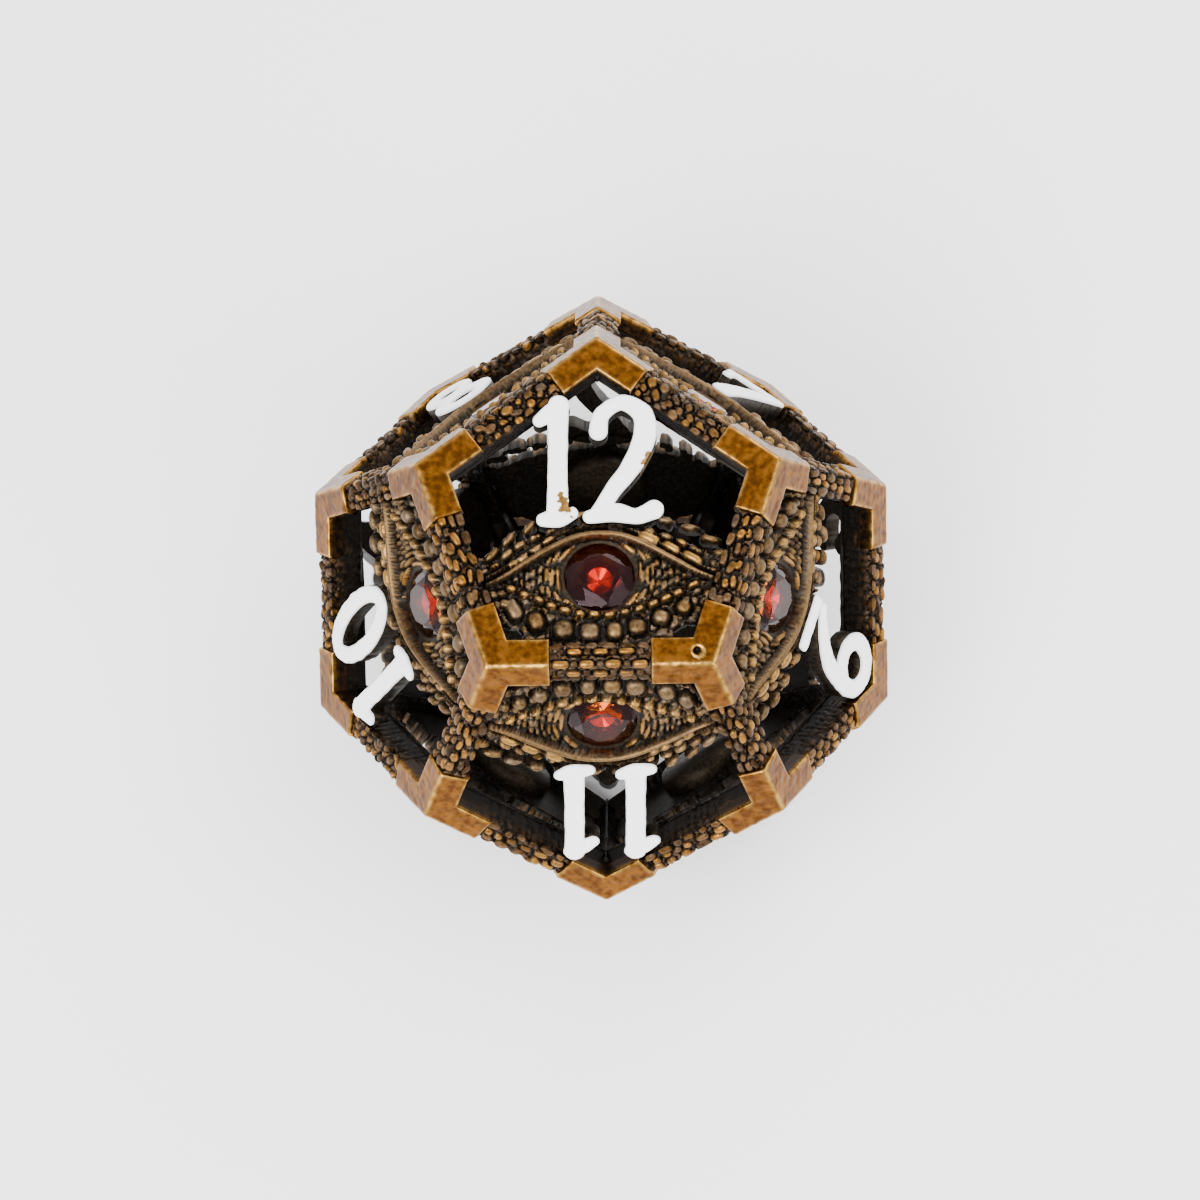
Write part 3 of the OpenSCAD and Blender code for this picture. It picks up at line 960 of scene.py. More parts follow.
    def style(self, n: int, bearing: float) -> BarStyle:
        """The way the scales of one bar are laid."""
        if n == 12:
            return {-90: BarStyle.NEAT, -18: BarStyle.STAGGERED, 198: BarStyle.STAGGERED}.get(
                bearing, BarStyle.PEBBLED)
        if n == 1:
            return BarStyle.NEAT if bearing == -90 else BarStyle.STAGGERED
        return BarStyle.STAGGERED if (n + bearing // 18) % 2 == 0 else BarStyle.PEBBLED

    def build(self, metal: bpy.types.Material) -> None:
        """Makes the bars, ring by ring."""
        rings = {
            "cage_top_ring": ([(12, b) for b in SIDES], "cage_upper"),
            "cage_upper_legs": ([(n, -18) for n in range(7, 12)], "cage_upper"),
            "cage_zigzag_right": ([(n, 54) for n in range(7, 12)], "cage_lower"),
            "cage_zigzag_left": ([(n, 126) for n in range(7, 12)], "cage_lower"),
            "cage_lower_legs": ([(n, -18) for n in range(2, 7)], "cage_lower"),
            "cage_bottom_ring": ([(1, b) for b in SIDES], "cage_lower"),
        }
        for name, (edges, node) in rings.items():
            bars = [self.bar(n, b, self.style(n, b)) for n, b in edges]
            settle(make_piece(name, bars, [metal], 60), [node])


@dataclass
class CornerCaps:
    """Twenty smooth three-armed caps. Sizes in millimetres, but the pit's place is in edges on its face."""

    thick: float = 0.7
    step: float = 0.06
    round_r: float = 0.09
    ridge_r: float = 0.12
    ridge_sink: float = 0.309
    ridge_wear_r: float = 0.1
    edge_wear_r: float = 0.09
    pit_r: float = 0.17
    pit_deep: float = 0.3
    pit_face: int = 12
    pit: tuple = (0.43, -0.63)

    def __post_init__(self) -> None:
        """Works out the ways of the arms, faces and ridges that meet at the tip of a corner."""
        tilt = math.asin(FACE_OUT / CORNER_OUT)
        drop = math.acos(EDGE / 2 / CORNER_OUT)
        self.tip = np.array([0, 0, CORNER_OUT])
        self.ways = [np.array([math.sin(drop) * math.cos(a), math.sin(drop) * math.sin(a), -math.cos(drop)])
                     for a in np.radians([0, 120, 240])]
        self.facing = [np.array([math.sin(tilt) * math.cos(a), math.sin(tilt) * math.sin(a), math.cos(tilt)])
                       for a in np.radians([60, 180, 300])]
        self.outs = [(self.facing[k] + self.facing[k - 1])
                     / np.linalg.norm(self.facing[k] + self.facing[k - 1]) for k in range(3)]

    def spread(self, length: float) -> Array:
        """Places along a side, closer together near its rounded end."""
        quarter = self.round_r * (1 - np.cos(np.linspace(0, math.pi / 2, 5)))
        middle = np.arange(self.step, length - self.round_r - self.step / 2, self.step)
        return np.concatenate([[0.0], middle, (length - quarter)[::-1]])

    def pit_place(self, i: int) -> Array:
        """Where the pit lies, seen from corner i."""
        on_face = np.array([[self.pit[0] * EDGE, self.pit[1] * EDGE, 0.0]])
        return place(np.linalg.inv(corner_frame(i)), place(face_frame(self.pit_face), on_face))[0]

    def soften(self, flat: Array, face: int, arm: int, edge: Array, end: Array, i: int) -> tuple:
        """Rounds, dents and wears the flat points of an arm's top.

        Args:
            flat: points in rows along the arm and columns across it.
            face: number of the face that they lie on.
            arm: number of the arm.
            edge: distance of each from the long side of the arm.
            end: distance of each from its end.
            i: number of the cap.

        Returns:
            The moved points, how worn each is, and how deep in the pit.
        """
        moved = flat.copy()
        rubbed = np.zeros(flat.shape[:2])
        patchy = Waves(SEED + i + 70, 0.8)(flat.reshape(-1, 3)).reshape(rubbed.shape)
        ridge_wear = np.clip(0.75 + 0.3 * patchy, 0.25, 1)
        edge_wear = np.clip(0.55 + 0.35 * patchy, 0.1, 0.9)
        for way, out in zip(self.ways, self.outs):
            along = np.maximum((flat - self.tip) @ way, 0)
            gap = np.linalg.norm(flat - self.tip - along[..., None] * way, axis=-1)
            sink = self.ridge_sink * self.ridge_r * np.clip(1 - gap / self.ridge_r, 0, 1) ** 2
            moved -= (sink / math.sin(HALF_RIDGE))[..., None] * out
            rubbed = np.maximum(rubbed, ridge_wear * np.exp(-((gap / self.ridge_wear_r) ** 2)))
        for gap, out in ((edge, self.facing[face]), (end, self.outs[arm] / math.sin(HALF_RIDGE))):
            near = np.clip(1 - gap / self.round_r, 0, 1)
            sink = self.round_r * (1 - np.sqrt(np.clip(1 - near ** 2, 0, 1)))
            moved -= sink[..., None] * out
            rubbed = np.maximum(rubbed, edge_wear * np.exp(-((gap / self.edge_wear_r) ** 2)))
        points = moved.reshape(-1, 3)
        cloud = np.clip(Waves(SEED + i, 1.6)(points), -1, 1.5)
        dent = 0.012 * cloud + 0.004 * Waves(SEED + i + 50, 0.5)(points)
        pit = np.exp(-(np.linalg.norm((points - self.pit_place(i)) / self.pit_r, axis=1) ** 2))
        sink = (np.abs(dent) + self.pit_deep * pit).reshape(rubbed.shape)
        moved -= sink[..., None] * moved / np.linalg.norm(moved, axis=-1, keepdims=True)
        pit = pit.reshape(rubbed.shape)
        rim = 0.9 * (pit > 0.04) * (pit < 0.25) - 2 * pit * (pit > 0.3)
        return moved, np.clip(rubbed + rim, 0, 1), pit

    def cap(self, i: int) -> list:
        """The patches of one cap, which close it all round."""
        clouds = Waves(SEED + i + 90, 0.9)
        slant = CAP_WIDTH / math.tan(INNER_CORNER)
        patches = []

        def tone(p: Array) -> Array:
            """Cloudy tone."""
            return np.clip(0.45 + 0.3 * clouds(p), 0, 1)

        for k in range(3):
            tops, lows = [], []
            for face in (k, k - 1):
                middle = self.facing[face]
                inward = np.cross(middle, self.ways[k])
                inward *= np.sign(inward @ np.array([middle[0], middle[1], 0]))
                across = self.spread(CAP_WIDTH)
                u = self.spread(CAP_ARM)[:, None] / CAP_ARM
                v = across[None, :] / CAP_WIDTH
                lengths = slant * v + (CAP_ARM - slant * v) * u
                flat = self.tip + lengths[..., None] * self.ways[k] + across[None, :, None] * inward
                edge = np.broadcast_to(CAP_WIDTH - across[None, :], lengths.shape)
                top, worn, pit = self.soften(flat, face, k, edge, CAP_ARM - lengths, i)
                # Painted shade darkens the pit.
                patches.append(sheet(top, worn, tone, 1 - 1.4 * smooth(0.25, 0.6, pit)))
                foot = flat[:, -1] - self.thick * middle
                depth = np.linspace(0, 1, 5)[None, :, None]
                side = top[:, -1][:, None, :] * (1 - depth) + foot[:, None, :] * depth
                # The side is darkened downwards with painted shade.
                patches.append(sheet(side, np.array([[0.6, 0.05, 0.0, 0.0, 0.0]]), tone,
                                     np.array([[0.8, 0.25, 0.12, 0.08, 0.05]])))
                low_ridge = self.tip * (1 - self.thick / DIE_IN)
                far_ridge = (self.tip + CAP_ARM * self.ways[k]
                             - self.thick / math.sin(HALF_RIDGE) * self.outs[k])
                line = low_ridge + (far_ridge - low_ridge) * u
                below = line[:, None, :] * (1 - v[..., None]) + foot[:, None, :] * v[..., None]
                # The underside gets painted shade.
                patches.append(sheet(below, np.zeros((1, 1)), tone, np.full((1, 1), 0.2)))
                tops.append(top[-1])
                lows.append(below[-1])
            rim, low = (np.concatenate([ends[0][::-1], ends[1][1:]]) for ends in (tops, lows))
            depth = np.linspace(0, 1, 5)[:, None, None]
            # The end is darkened downwards with painted shade.
            patches.append(sheet(rim[None] * (1 - depth) + low[None] * depth,
                                 np.array([[0.7], [0.1], [0.0], [0.0], [0.0]]), tone,
                                 np.array([[0.9], [0.5], [0.3], [0.2], [0.1]])))
        return [patch.moved(corner_frame(i)) for patch in patches]

    def build(self, metal: bpy.types.Material) -> None:
        """Makes the caps."""
        for i in range(1, 21):
            piece = make_piece(f"cap_{i:02d}", self.cap(i), [metal], 35)
            settle(piece, [f"corner_cap_{i:02d}"])


@dataclass
class Digits:
    """The numerals: their strokes, in numeral heights, and where they stand. Sizes in millimetres."""

    height: float = 5.51
    metal_t: float = 0.85
    enamel_t: float = 0.15
    underline: tuple = (1.2, 0.275)
    step: float = 0.06

    strokes = [
        [],
        [
            [[0.0, 0.06, 0.085], [0.0, 0.3, 0.074], [0.005, 0.65, 0.074], [0.012, 0.93, 0.076]],
            [[0.03, 0.92, 0.065], [-0.05, 0.87, 0.065], [-0.13, 0.81, 0.05]],
            [[-0.11, 0.03, 0.05], [0, 0.05, 0.075], [0.1, 0.08, 0.05]],
        ],
        [
            [[-0.17, 0.72, 0.07], [-0.14, 0.85, 0.06], [0, 0.94, 0.06], [0.15, 0.86, 0.075],
             [0.175, 0.69, 0.085], [0.09, 0.47, 0.075], [-0.06, 0.26, 0.065], [-0.2, 0.06, 0.05]],
            [[-0.24, 0.05, 0.05], [-0.05, 0.08, 0.07], [0.1, 0.05, 0.06], [0.23, 0.1, 0.075]],
        ],
        [
            [[-0.18, 0.76, 0.07], [-0.12, 0.9, 0.06], [0.02, 0.94, 0.06], [0.14, 0.84, 0.075],
             [0.12, 0.67, 0.07], [-0.05, 0.55, 0.05]],
            [[-0.07, 0.55, 0.05], [0.12, 0.48, 0.07], [0.19, 0.28, 0.085], [0.1, 0.1, 0.07],
             [-0.06, 0.06, 0.06], [-0.19, 0.17, 0.075]],
        ],
        [
            [[0.08, 0.04, 0.075], [0.08, 0.95, 0.075]],
            [[0.06, 0.94, 0.06], [-0.21, 0.33, 0.055]],
            [[-0.22, 0.31, 0.06], [0.2, 0.31, 0.06]],
        ],
        [
            [[-0.15, 0.93, 0.06], [0.16, 0.94, 0.06]],
            [[-0.13, 0.95, 0.05], [-0.16, 0.52, 0.05]],
            [[-0.18, 0.54, 0.05], [0, 0.6, 0.06], [0.15, 0.5, 0.075], [0.19, 0.29, 0.085],
             [0.09, 0.1, 0.07], [-0.06, 0.06, 0.06], [-0.19, 0.16, 0.075]],
        ],
        [[[-0.19, 0.27, 0.07], [-0.15, 0.6, 0.075], [0, 0.82, 0.06], [0.15, 0.91, 0.045]]],
        [
            [[-0.22, 0.92, 0.055], [0.2, 0.93, 0.055]],
            [[-0.21, 0.94, 0.04], [-0.22, 0.76, 0.04]],
            [[0.19, 0.93, 0.06], [0.06, 0.6, 0.075], [-0.02, 0.3, 0.08], [-0.05, 0.05, 0.085]],
        ],
        [],
        [[[0.19, 0.73, 0.07], [0.15, 0.4, 0.075], [0, 0.18, 0.06], [-0.17, 0.05, 0.045]]],
    ]
    rings = [
        [[0.5, 0.17, 0.42, 0.065]], [], [], [], [], [],
        [[0.26, 0.18, 0.19, 0.07]], [],
        [[0.27, 0.18, 0.2, 0.07], [0.74, 0.145, 0.18, 0.06]],
        [[0.74, 0.18, 0.19, 0.07]],
    ]
    feet = [0, 0, -0.05, 0, 0.08, 0, 0, -0.05, 0, -0.13]

    def label(self, n: int) -> list:
        """Digits of face n, each with its place across the face in numeral heights."""
        return {12: [(1, -0.3), (2, 0.175)], 11: [(1, -0.24), (1, 0.22)], 10: [(1, -0.27), (0, 0.25)]}.get(
            n, [(n, 0)])

    def lift(self, n: int) -> float:
        """How far a numeral stands above the brow."""
        return 0.4 if n in (6, 9) else 0.0 if n < 10 else -0.2

    def digit_gap(self, digit: int, p: Array) -> Array:
        """Signed distance to a digit, in numeral heights."""
        gap = np.full(len(p), FAR)
        for stroke in self.strokes[digit]:
            gap = np.minimum(gap, line_gap(p, curve(stroke)))
        for middle, half_w, half_h, half in self.rings[digit]:
            around = np.linspace(0, 2 * math.pi, 49)
            ring = np.column_stack([half_w * np.cos(around), middle + half_h * np.sin(around),
                                    np.full(49, half)])
            gap = np.minimum(gap, line_gap(p, ring))
        return gap

    def gap(self, n: int, p: Array) -> Array:
        """Signed distance to the whole numeral of face n, with its bar, in millimetres."""
        foot = BROW_Y + self.lift(n)
        parts = [
            self.height * self.digit_gap(digit, p / self.height - (x, foot / self.height))
            for digit, x in self.label(n)
        ]
        if n in (6, 9):
            half_w, half_h = self.underline
            parts.append(box_gap(p, 0, foot - half_h - 0.03, half_w, half_h, 0.12))
        wobble = 0.008 * Waves(SEED + n, 1.1, 8)(p)
        return np.min(parts, axis=0) + wobble

    def chips(self, n: int, p: Array) -> Array:
        """Signed distance to the places where enamel is chipped off."""
        places = {12: [(-0.15, 0.06, 0.55, 0.24, 1.9), (0.225, 0.27, 0.34, 0.2, 0.9)]}.get(n, [])
        gap = np.full(len(p), 9.0)
        rough = 0.05 * Waves(SEED + 7, 0.4)(p)
        for x, y, half_l, half_w, lean in places:
            away = p - (x * EDGE, y * EDGE)
            u = away @ (math.cos(lean), math.sin(lean)) / half_l
            v = away @ (-math.sin(lean), math.cos(lean)) / half_w
            gap = np.minimum(gap, (np.hypot(u, v) - 1) * half_w + rough)
        return gap

    def area(self) -> tuple:
        """Lower and upper corner of the area that holds a numeral."""
        half = 0.62 * self.height
        return (-half, BROW_Y - 0.7), (half, BROW_Y + self.height + 0.6)

    def metal(self, n: int) -> list:
        """The metal under the enamel, and its feet."""
        low, high = self.area()

        def dress(p: Array, inside: Array) -> Relief:
            """A nearly plain top, worn bright where enamel is missing."""
            rng = np.random.default_rng((SEED, n, 3))
            relief = Relief(p, -self.enamel_t + 0.012 * Waves(SEED + n, 0.6)(p), rng)
            bare = self.chips(n, p) < 0.1
            relief.shade[:] = np.where(bare, 1.0, 0.3)
            relief.wear[:] = np.where(bare, 0.75, 0.0)
            return relief

        body = plate(lambda p: self.gap(n, p), dress, low, high, self.step, -self.metal_t)
        feet = []
        for digit, x in self.label(n):
            at = (x + self.feet[digit]) * self.height
            low_y = BROW_Y - 0.8
            high_y = BROW_Y + self.lift(n) + 0.65

            def plain(p: Array, inside: Array) -> Relief:
                """A plain dark top."""
                relief = Relief(p, np.full(len(p), -self.enamel_t - 0.2), np.random.default_rng(SEED))
                relief.shade[:] = 0.3
                return relief

            feet.append(plate(
                lambda p, at=at, a=low_y, b=high_y: box_gap(p, at, (a + b) / 2, 0.3, (b - a) / 2, 0.08),
                plain, (at - 0.5, low_y - 0.2), (at + 0.5, high_y + 0.2), 0.1, -self.metal_t))
        return [body] + feet

    def build(self, enamel: bpy.types.Material) -> None:
        """Makes the enamel faces of the numerals."""
        for n in range(1, 13):
            low, high = self.area()

            def dress(p: Array, inside: Array) -> Relief:
                """A slightly domed, slightly uneven face."""
                rng = np.random.default_rng((SEED, n, 4))
                dome = -0.02 * (1 - smooth(0, 0.3, -inside))
                relief = Relief(p, dome - 0.006 * np.abs(Waves(SEED + n, 0.8)(p)), rng)
                # Greyer within 0.12 mm of the outline.
                relief.shade[:] = 0.55 + 0.45 * smooth(0.0, 0.12, -inside)
                return relief

            top = plate(
                lambda p: np.maximum(self.gap(n, p), -self.chips(n, p)), dress, low, high, self.step,
                -self.enamel_t - 0.02, 0.07)
            piece = make_piece(f"numeral_enamel_{n:02d}", [top.moved(face_frame(n))], [enamel], 50)
            settle(piece, [f"enamel_{n:02d}"])


@dataclass
class EyePanels:
    """The relief round each stone: lids, folds and scales on a plate. Sizes in millimetres."""

    digits: Digits
    window_in: float = FACE_IN - BAR_WIDTH
    corner_y: float = -2.48
    panel_deep: float = 0.95
    notch_r: float = 0.75
    step: float = 0.07

    def a(self, value: float) -> float:
        """A length given in edges, in millimetres."""
        return value * EDGE

    def outline(self, p: Array) -> Array:
        """Signed distance to the plate's outline, with the stone's hole and the brow's loose scales."""
        half = FACE_OUT * math.cos(math.radians(18)) - BAR_WIDTH
        rise = BROW_Y - self.corner_y
        brow_r = (half * half + rise * rise) / 2 / rise
        window = pentagon_gap(p, self.window_in - 0.03)
        gap = np.maximum(window, circle_gap(p, 0, BROW_Y - 0.25 - brow_r, brow_r))
        for x, y, half_l, half_w, angle in self.brow_scales():
            c, s = math.cos(angle), math.sin(angle)
            u = ((p[:, 0] - x) * c + (p[:, 1] - y) * s) / half_l
            v = ((p[:, 1] - y) * c - (p[:, 0] - x) * s) / half_w
            gap = np.minimum(gap, (np.hypot(u, v) - 1) * half_w)
        gap = np.maximum(gap, window)
        for k in range(1, 5):
            gap = np.maximum(gap, -chevron_gap(p, k, CAP_ARM + 0.03, CAP_WIDTH + 0.03))
        reach = FACE_OUT - CAP_WIDTH / math.sin(INNER_CORNER)
        for k in (2, 3):
            around = math.radians(90 + 72 * k)
            notch = circle_gap(p, reach * math.cos(around), reach * math.sin(around), self.notch_r)
            gap = np.maximum(gap, -notch)
        gap = gap + 0.05 * Waves(SEED, 0.7)(p)
        return np.maximum(gap, -circle_gap(p, 0, STONE_Y, STONE_R + 0.03))

    def brow_scales(self) -> list:
        """The long scales that stick out over the brow: x, y, half sizes and way."""
        line = curve([
            (-0.47, -0.155, 0.75), (-0.4, -0.085, 0.85), (-0.31, -0.035, 0.8), (-0.2, 0.0, 0.45),
            (-0.08, 0.02, 0.2), (0.05, 0.025, 0.0), (0.18, 0.01, -0.2), (0.3, -0.01, -0.15),
            (0.4, -0.045, -0.2), (0.49, -0.1, -0.25), (0.54, -0.165, -0.3),
        ], 1)
        return [(self.a(x), self.a(y), self.a(0.05), self.a(0.02), angle) for x, y, angle in line]

    def lid(self, upper: bool, offset: float = 0.0) -> Array:
        """The line of a lid, in edges, with a half width at each point."""
        if upper:
            line = [(-0.5, -0.3, 0.008), (-0.42, -0.262, 0.014), (-0.31, -0.19, 0.017), (-0.2, -0.125, 0.018),
                    (-0.1, -0.082, 0.018), (0, -0.068, 0.018), (0.1, -0.078, 0.018), (0.2, -0.118, 0.018),
                    (0.32, -0.185, 0.017), (0.43, -0.25, 0.014), (0.53, -0.29, 0.008)]
        else:
            line = [(-0.5, -0.285, 0.008), (-0.4, -0.3, 0.012), (-0.3, -0.345, 0.014), (-0.2, -0.39, 0.015),
                    (-0.1, -0.42, 0.015), (0, -0.43, 0.015), (0.1, -0.425, 0.015), (0.2, -0.395, 0.015),
                    (0.32, -0.345, 0.014), (0.43, -0.3, 0.012), (0.53, -0.28, 0.008)]
        line = curve(line, 4)
        line[:, 1] += offset
        return line * EDGE

    def almond(self, p: Array) -> Array:
        """Less than 0 between the lids."""
        up, down = self.lid(True), self.lid(False)
        above = p[:, 1] - np.interp(p[:, 0], up[:, 0], up[:, 1])
        below = np.interp(p[:, 0], down[:, 0], down[:, 1]) - p[:, 1]
        return np.maximum(above, below)

    def rows(self, points: list, count: int, half_l: float, half_w: float, foot: float, rise: float,
             gold: tuple, rng: np.random.Generator, square: float = 2.6) -> list:
        """Scales in a row along a line given in edges.

        Args:
            points: the line.
            count: how many scales.
            half_l: half their length along the line, in edges.
            half_w: half their width, in edges.
            foot: height of their foot, in millimetres.
            rise: how far they rise above it, in millimetres.
            gold: least and most gold on a top.
            rng: the source of small differences.
            square: how square they are.
        """
        line = curve(points, 12)
        gone = np.concatenate([[0], np.cumsum(np.hypot(*np.diff(line[:, :2], axis=0).T))])
        out = []
        for k in range(count):
            s = gone[-1] * (k + 0.5) / count + rng.uniform(-0.006, 0.006)
            x, y = np.interp(s, gone, line[:, 0]), np.interp(s, gone, line[:, 1])
            ahead = np.interp(s + 0.01, gone, line[:, 1]) - np.interp(s - 0.01, gone, line[:, 1])
            onward = np.interp(s + 0.01, gone, line[:, 0]) - np.interp(s - 0.01, gone, line[:, 0])
            size = rng.uniform(0.88, 1.1)
            out.append(Scale(
                self.a(x), self.a(y + rng.uniform(-0.004, 0.004)), self.a(half_l) * size,
                self.a(half_w) * rng.uniform(0.9, 1.1), math.atan2(ahead, onward) + rng.uniform(-0.08, 0.08),
                foot, rise * rng.uniform(0.85, 1.1), rng.uniform(*gold), square, 0.05))
        return out

    def scales(self, rng: np.random.Generator) -> list:
        """All the scales outside the almond, the lowest first."""
        out = []
        for row, y in enumerate(np.arange(-0.62, 0.02, 0.042)):
            for x in np.arange(-0.6, 0.62, 0.048):
                jig = rng.uniform(-0.012, 0.012, 2)
                out.append(Scale(
                    self.a(x + jig[0] + 0.024 * (row % 2)), self.a(y + jig[1]),
                    self.a(rng.uniform(0.018, 0.026)), self.a(rng.uniform(0.014, 0.02)),
                    rng.uniform(-0.7, 0.7), -0.5, rng.uniform(0.05, 0.13), rng.uniform(0.0, 0.2), 2.2, 0.03))
        for side in (-1, 1):
            out += self.rows(
                [(0.36 * side, -0.33), (0.45 * side, -0.34), (0.54 * side, -0.36)],
                4, 0.022, 0.018, -0.45, 0.2, (0.0, 0.3), rng)
            out += self.rows(
                [(0.36 * side, -0.375), (0.45 * side, -0.385), (0.52 * side, -0.41)],
                4, 0.022, 0.02, -0.45, 0.2, (0.0, 0.3), rng)
            out += self.rows(
                [(0.44 * side, -0.2), (0.52 * side, -0.245), (0.58 * side, -0.27)],
                3, 0.028, 0.014, -0.42, 0.2, (0.1, 0.5), rng)
        for x, y, half_l, half_w, angle in self.brow_scales():
            out.append(Scale(x, y, half_l, half_w, angle + rng.uniform(-0.1, 0.1), -0.42,
                             rng.uniform(0.2, 0.3), rng.uniform(0.1, 0.4), 1.8, 0.05))
        return out

    def lid_scales(self, rng: np.random.Generator) -> list:
        """The golden scales along the lids, and the big pebbles under the eye."""
        out = self.rows(
            [(-0.44, -0.18), (-0.3, -0.085), (-0.14, -0.025), (0.0, -0.012), (0.14, -0.022), (0.3, -0.08),
             (0.46, -0.17)],
            13, 0.033, 0.018, -0.42, 0.28, (0.15, 0.85), rng, 2.4)
        out += self.rows(
            [(-0.41, -0.222), (-0.3, -0.145), (-0.2, -0.085)],
            4, 0.03, 0.017, -0.4, 0.28, (0.4, 0.9), rng)
        out += self.rows(
            [(0.17, -0.062), (0.27, -0.11), (0.37, -0.165), (0.46, -0.215)],
            3, 0.052, 0.024, -0.4, 0.32, (0.85, 1.0), rng, 3.2)
        out += self.rows(
            [(-0.42, -0.305), (-0.33, -0.342), (-0.2, -0.4), (-0.1, -0.432), (0.0, -0.445), (0.1, -0.436),
             (0.2, -0.41), (0.33, -0.35), (0.44, -0.3)],
            14, 0.027, 0.0155, -0.4, 0.3, (0.7, 1.0), rng, 2.8)
        big = [
            (-0.38, -0.415, 0.036, 0.046, 0.5), (-0.285, -0.465, 0.04, 0.046, 0.4),
            (-0.155, -0.505, 0.046, 0.046, 0.1), (-0.045, -0.515, 0.044, 0.042, 0.0),
            (0.06, -0.515, 0.038, 0.042, 0.0), (0.165, -0.495, 0.045, 0.04, -0.1),
            (0.27, -0.455, 0.04, 0.036, -0.3), (0.365, -0.41, 0.034, 0.034, -0.5),
        ]
        for x, y, half_l, half_w, angle in big:
            out.append(Scale(
                self.a(x + rng.uniform(-0.006, 0.006)), self.a(y), self.a(half_l * rng.uniform(0.94, 1.06)),
                self.a(half_w), angle, -0.5, rng.uniform(0.3, 0.4), rng.uniform(0.1, 0.3), 2.6, 0.08))
        return out

    def eye_scales(self, rng: np.random.Generator) -> list:
        """The folds round the stone: long golden scales beside it and grey pebbles towards the corners."""
        out = []
        for ring in range(11):
            r = STONE_R + 0.17 + 0.25 * ring
            near = max(0.0, 1 - ring / 3)
            length = 0.2 + 0.4 * near
            count = round(2 * math.pi * r / (2 * length + 0.05))
            start = rng.uniform(0, 6)
            for k in range(count):
                t = start + 2 * math.pi * k / count
                jig = rng.uniform(-0.03, 0.03)
                golden = rng.uniform(0.55, 0.95) * near + (1 - near) * rng.uniform(0.0, 0.35)
                out.append(Scale((r + jig) * math.cos(t), STONE_Y + (r + jig) * math.sin(t),
                                 length * rng.uniform(0.85, 1.05), rng.uniform(0.1, 0.13), t + math.pi / 2,
                                 -0.56, rng.uniform(0.11, 0.18), golden, 2.4, 0.04))
        return out

    def dress(self, n: int, p: Array) -> Relief:
        """The whole relief of one panel."""
        rng = np.random.default_rng((SEED, n, 1))
        base = -0.5 + 0.02 * Waves(SEED + n, 1.7)(p)
        relief = Relief(p, base, rng)
        for scale in self.scales(rng):
            relief.stamp(scale)
        inside = self.almond(p) < 0
        rough = Waves(SEED + n, 0.4)(p)
        relief.height[inside] = (-0.6 + 0.01 * rough)[inside]
        # The hollow's floor is dark: patina and painted shade.
        relief.shade[inside] = 0.1
        relief.wear[inside] = 0.0
        for scale in self.eye_scales(rng):
            if self.almond(np.array([[scale.x, scale.y]]))[0] < -0.02:
                relief.stamp(scale)
        relief.ridge(self.lid(False), -0.46, 0.16, 0.2)
        relief.ridge(self.lid(True, 0.034), -0.42, 0.28, 0.12)
        relief.ridge(self.lid(True), -0.42, 0.34, 0.3)
        for scale in self.lid_scales(rng):
            relief.stamp(scale)
        return relief

    def cup(self) -> list:
        """The cup that holds the stone, and the bright foil in it."""
        r = STONE_R
        shell = [
            (r + 0.02, -0.62), (r + 0.3, -0.62), (r + 0.4, -0.8), (r + 0.38, -1.5), (r + 0.2, -1.78),
            (0.01, -1.84), (0.01, -1.62), (0.2, -1.6),
        ]
        foil = [
            (r + 0.015, -0.66), (r + 0.015, -0.83), (0.12, -1.58), (0.01, -1.58), (0.01, -1.6),
            (0.14, -1.6), (r + 0.05, -0.85), (r + 0.05, -0.66),
        ]
        # The cup's shell, seen inside the die, is darkened with painted shade; the foil is bright.
        return [turned(shell, 0, STONE_Y, 48, 0, 0.08), turned(foil, 0, STONE_Y, 48, 1, 1.0)]

    def build(self, metal: bpy.types.Material, foil: bpy.types.Material) -> None:
        """Makes the panels, each with its numeral's metal."""
        for n in range(1, 13):
            top = plate(
                self.outline, lambda p, inside: self.dress(n, p), (-6.2, -6.0), (6.2, 1.2), self.step,
                -self.panel_deep, 0.08)
            patches = [q.moved(face_frame(n)) for q in [top, *self.cup(), *self.digits.metal(n)]]
            piece = make_piece(f"eye_relief_{n:02d}", patches, [metal, foil], 60)
            settle(piece, [f"eye_panel_{n:02d}"])


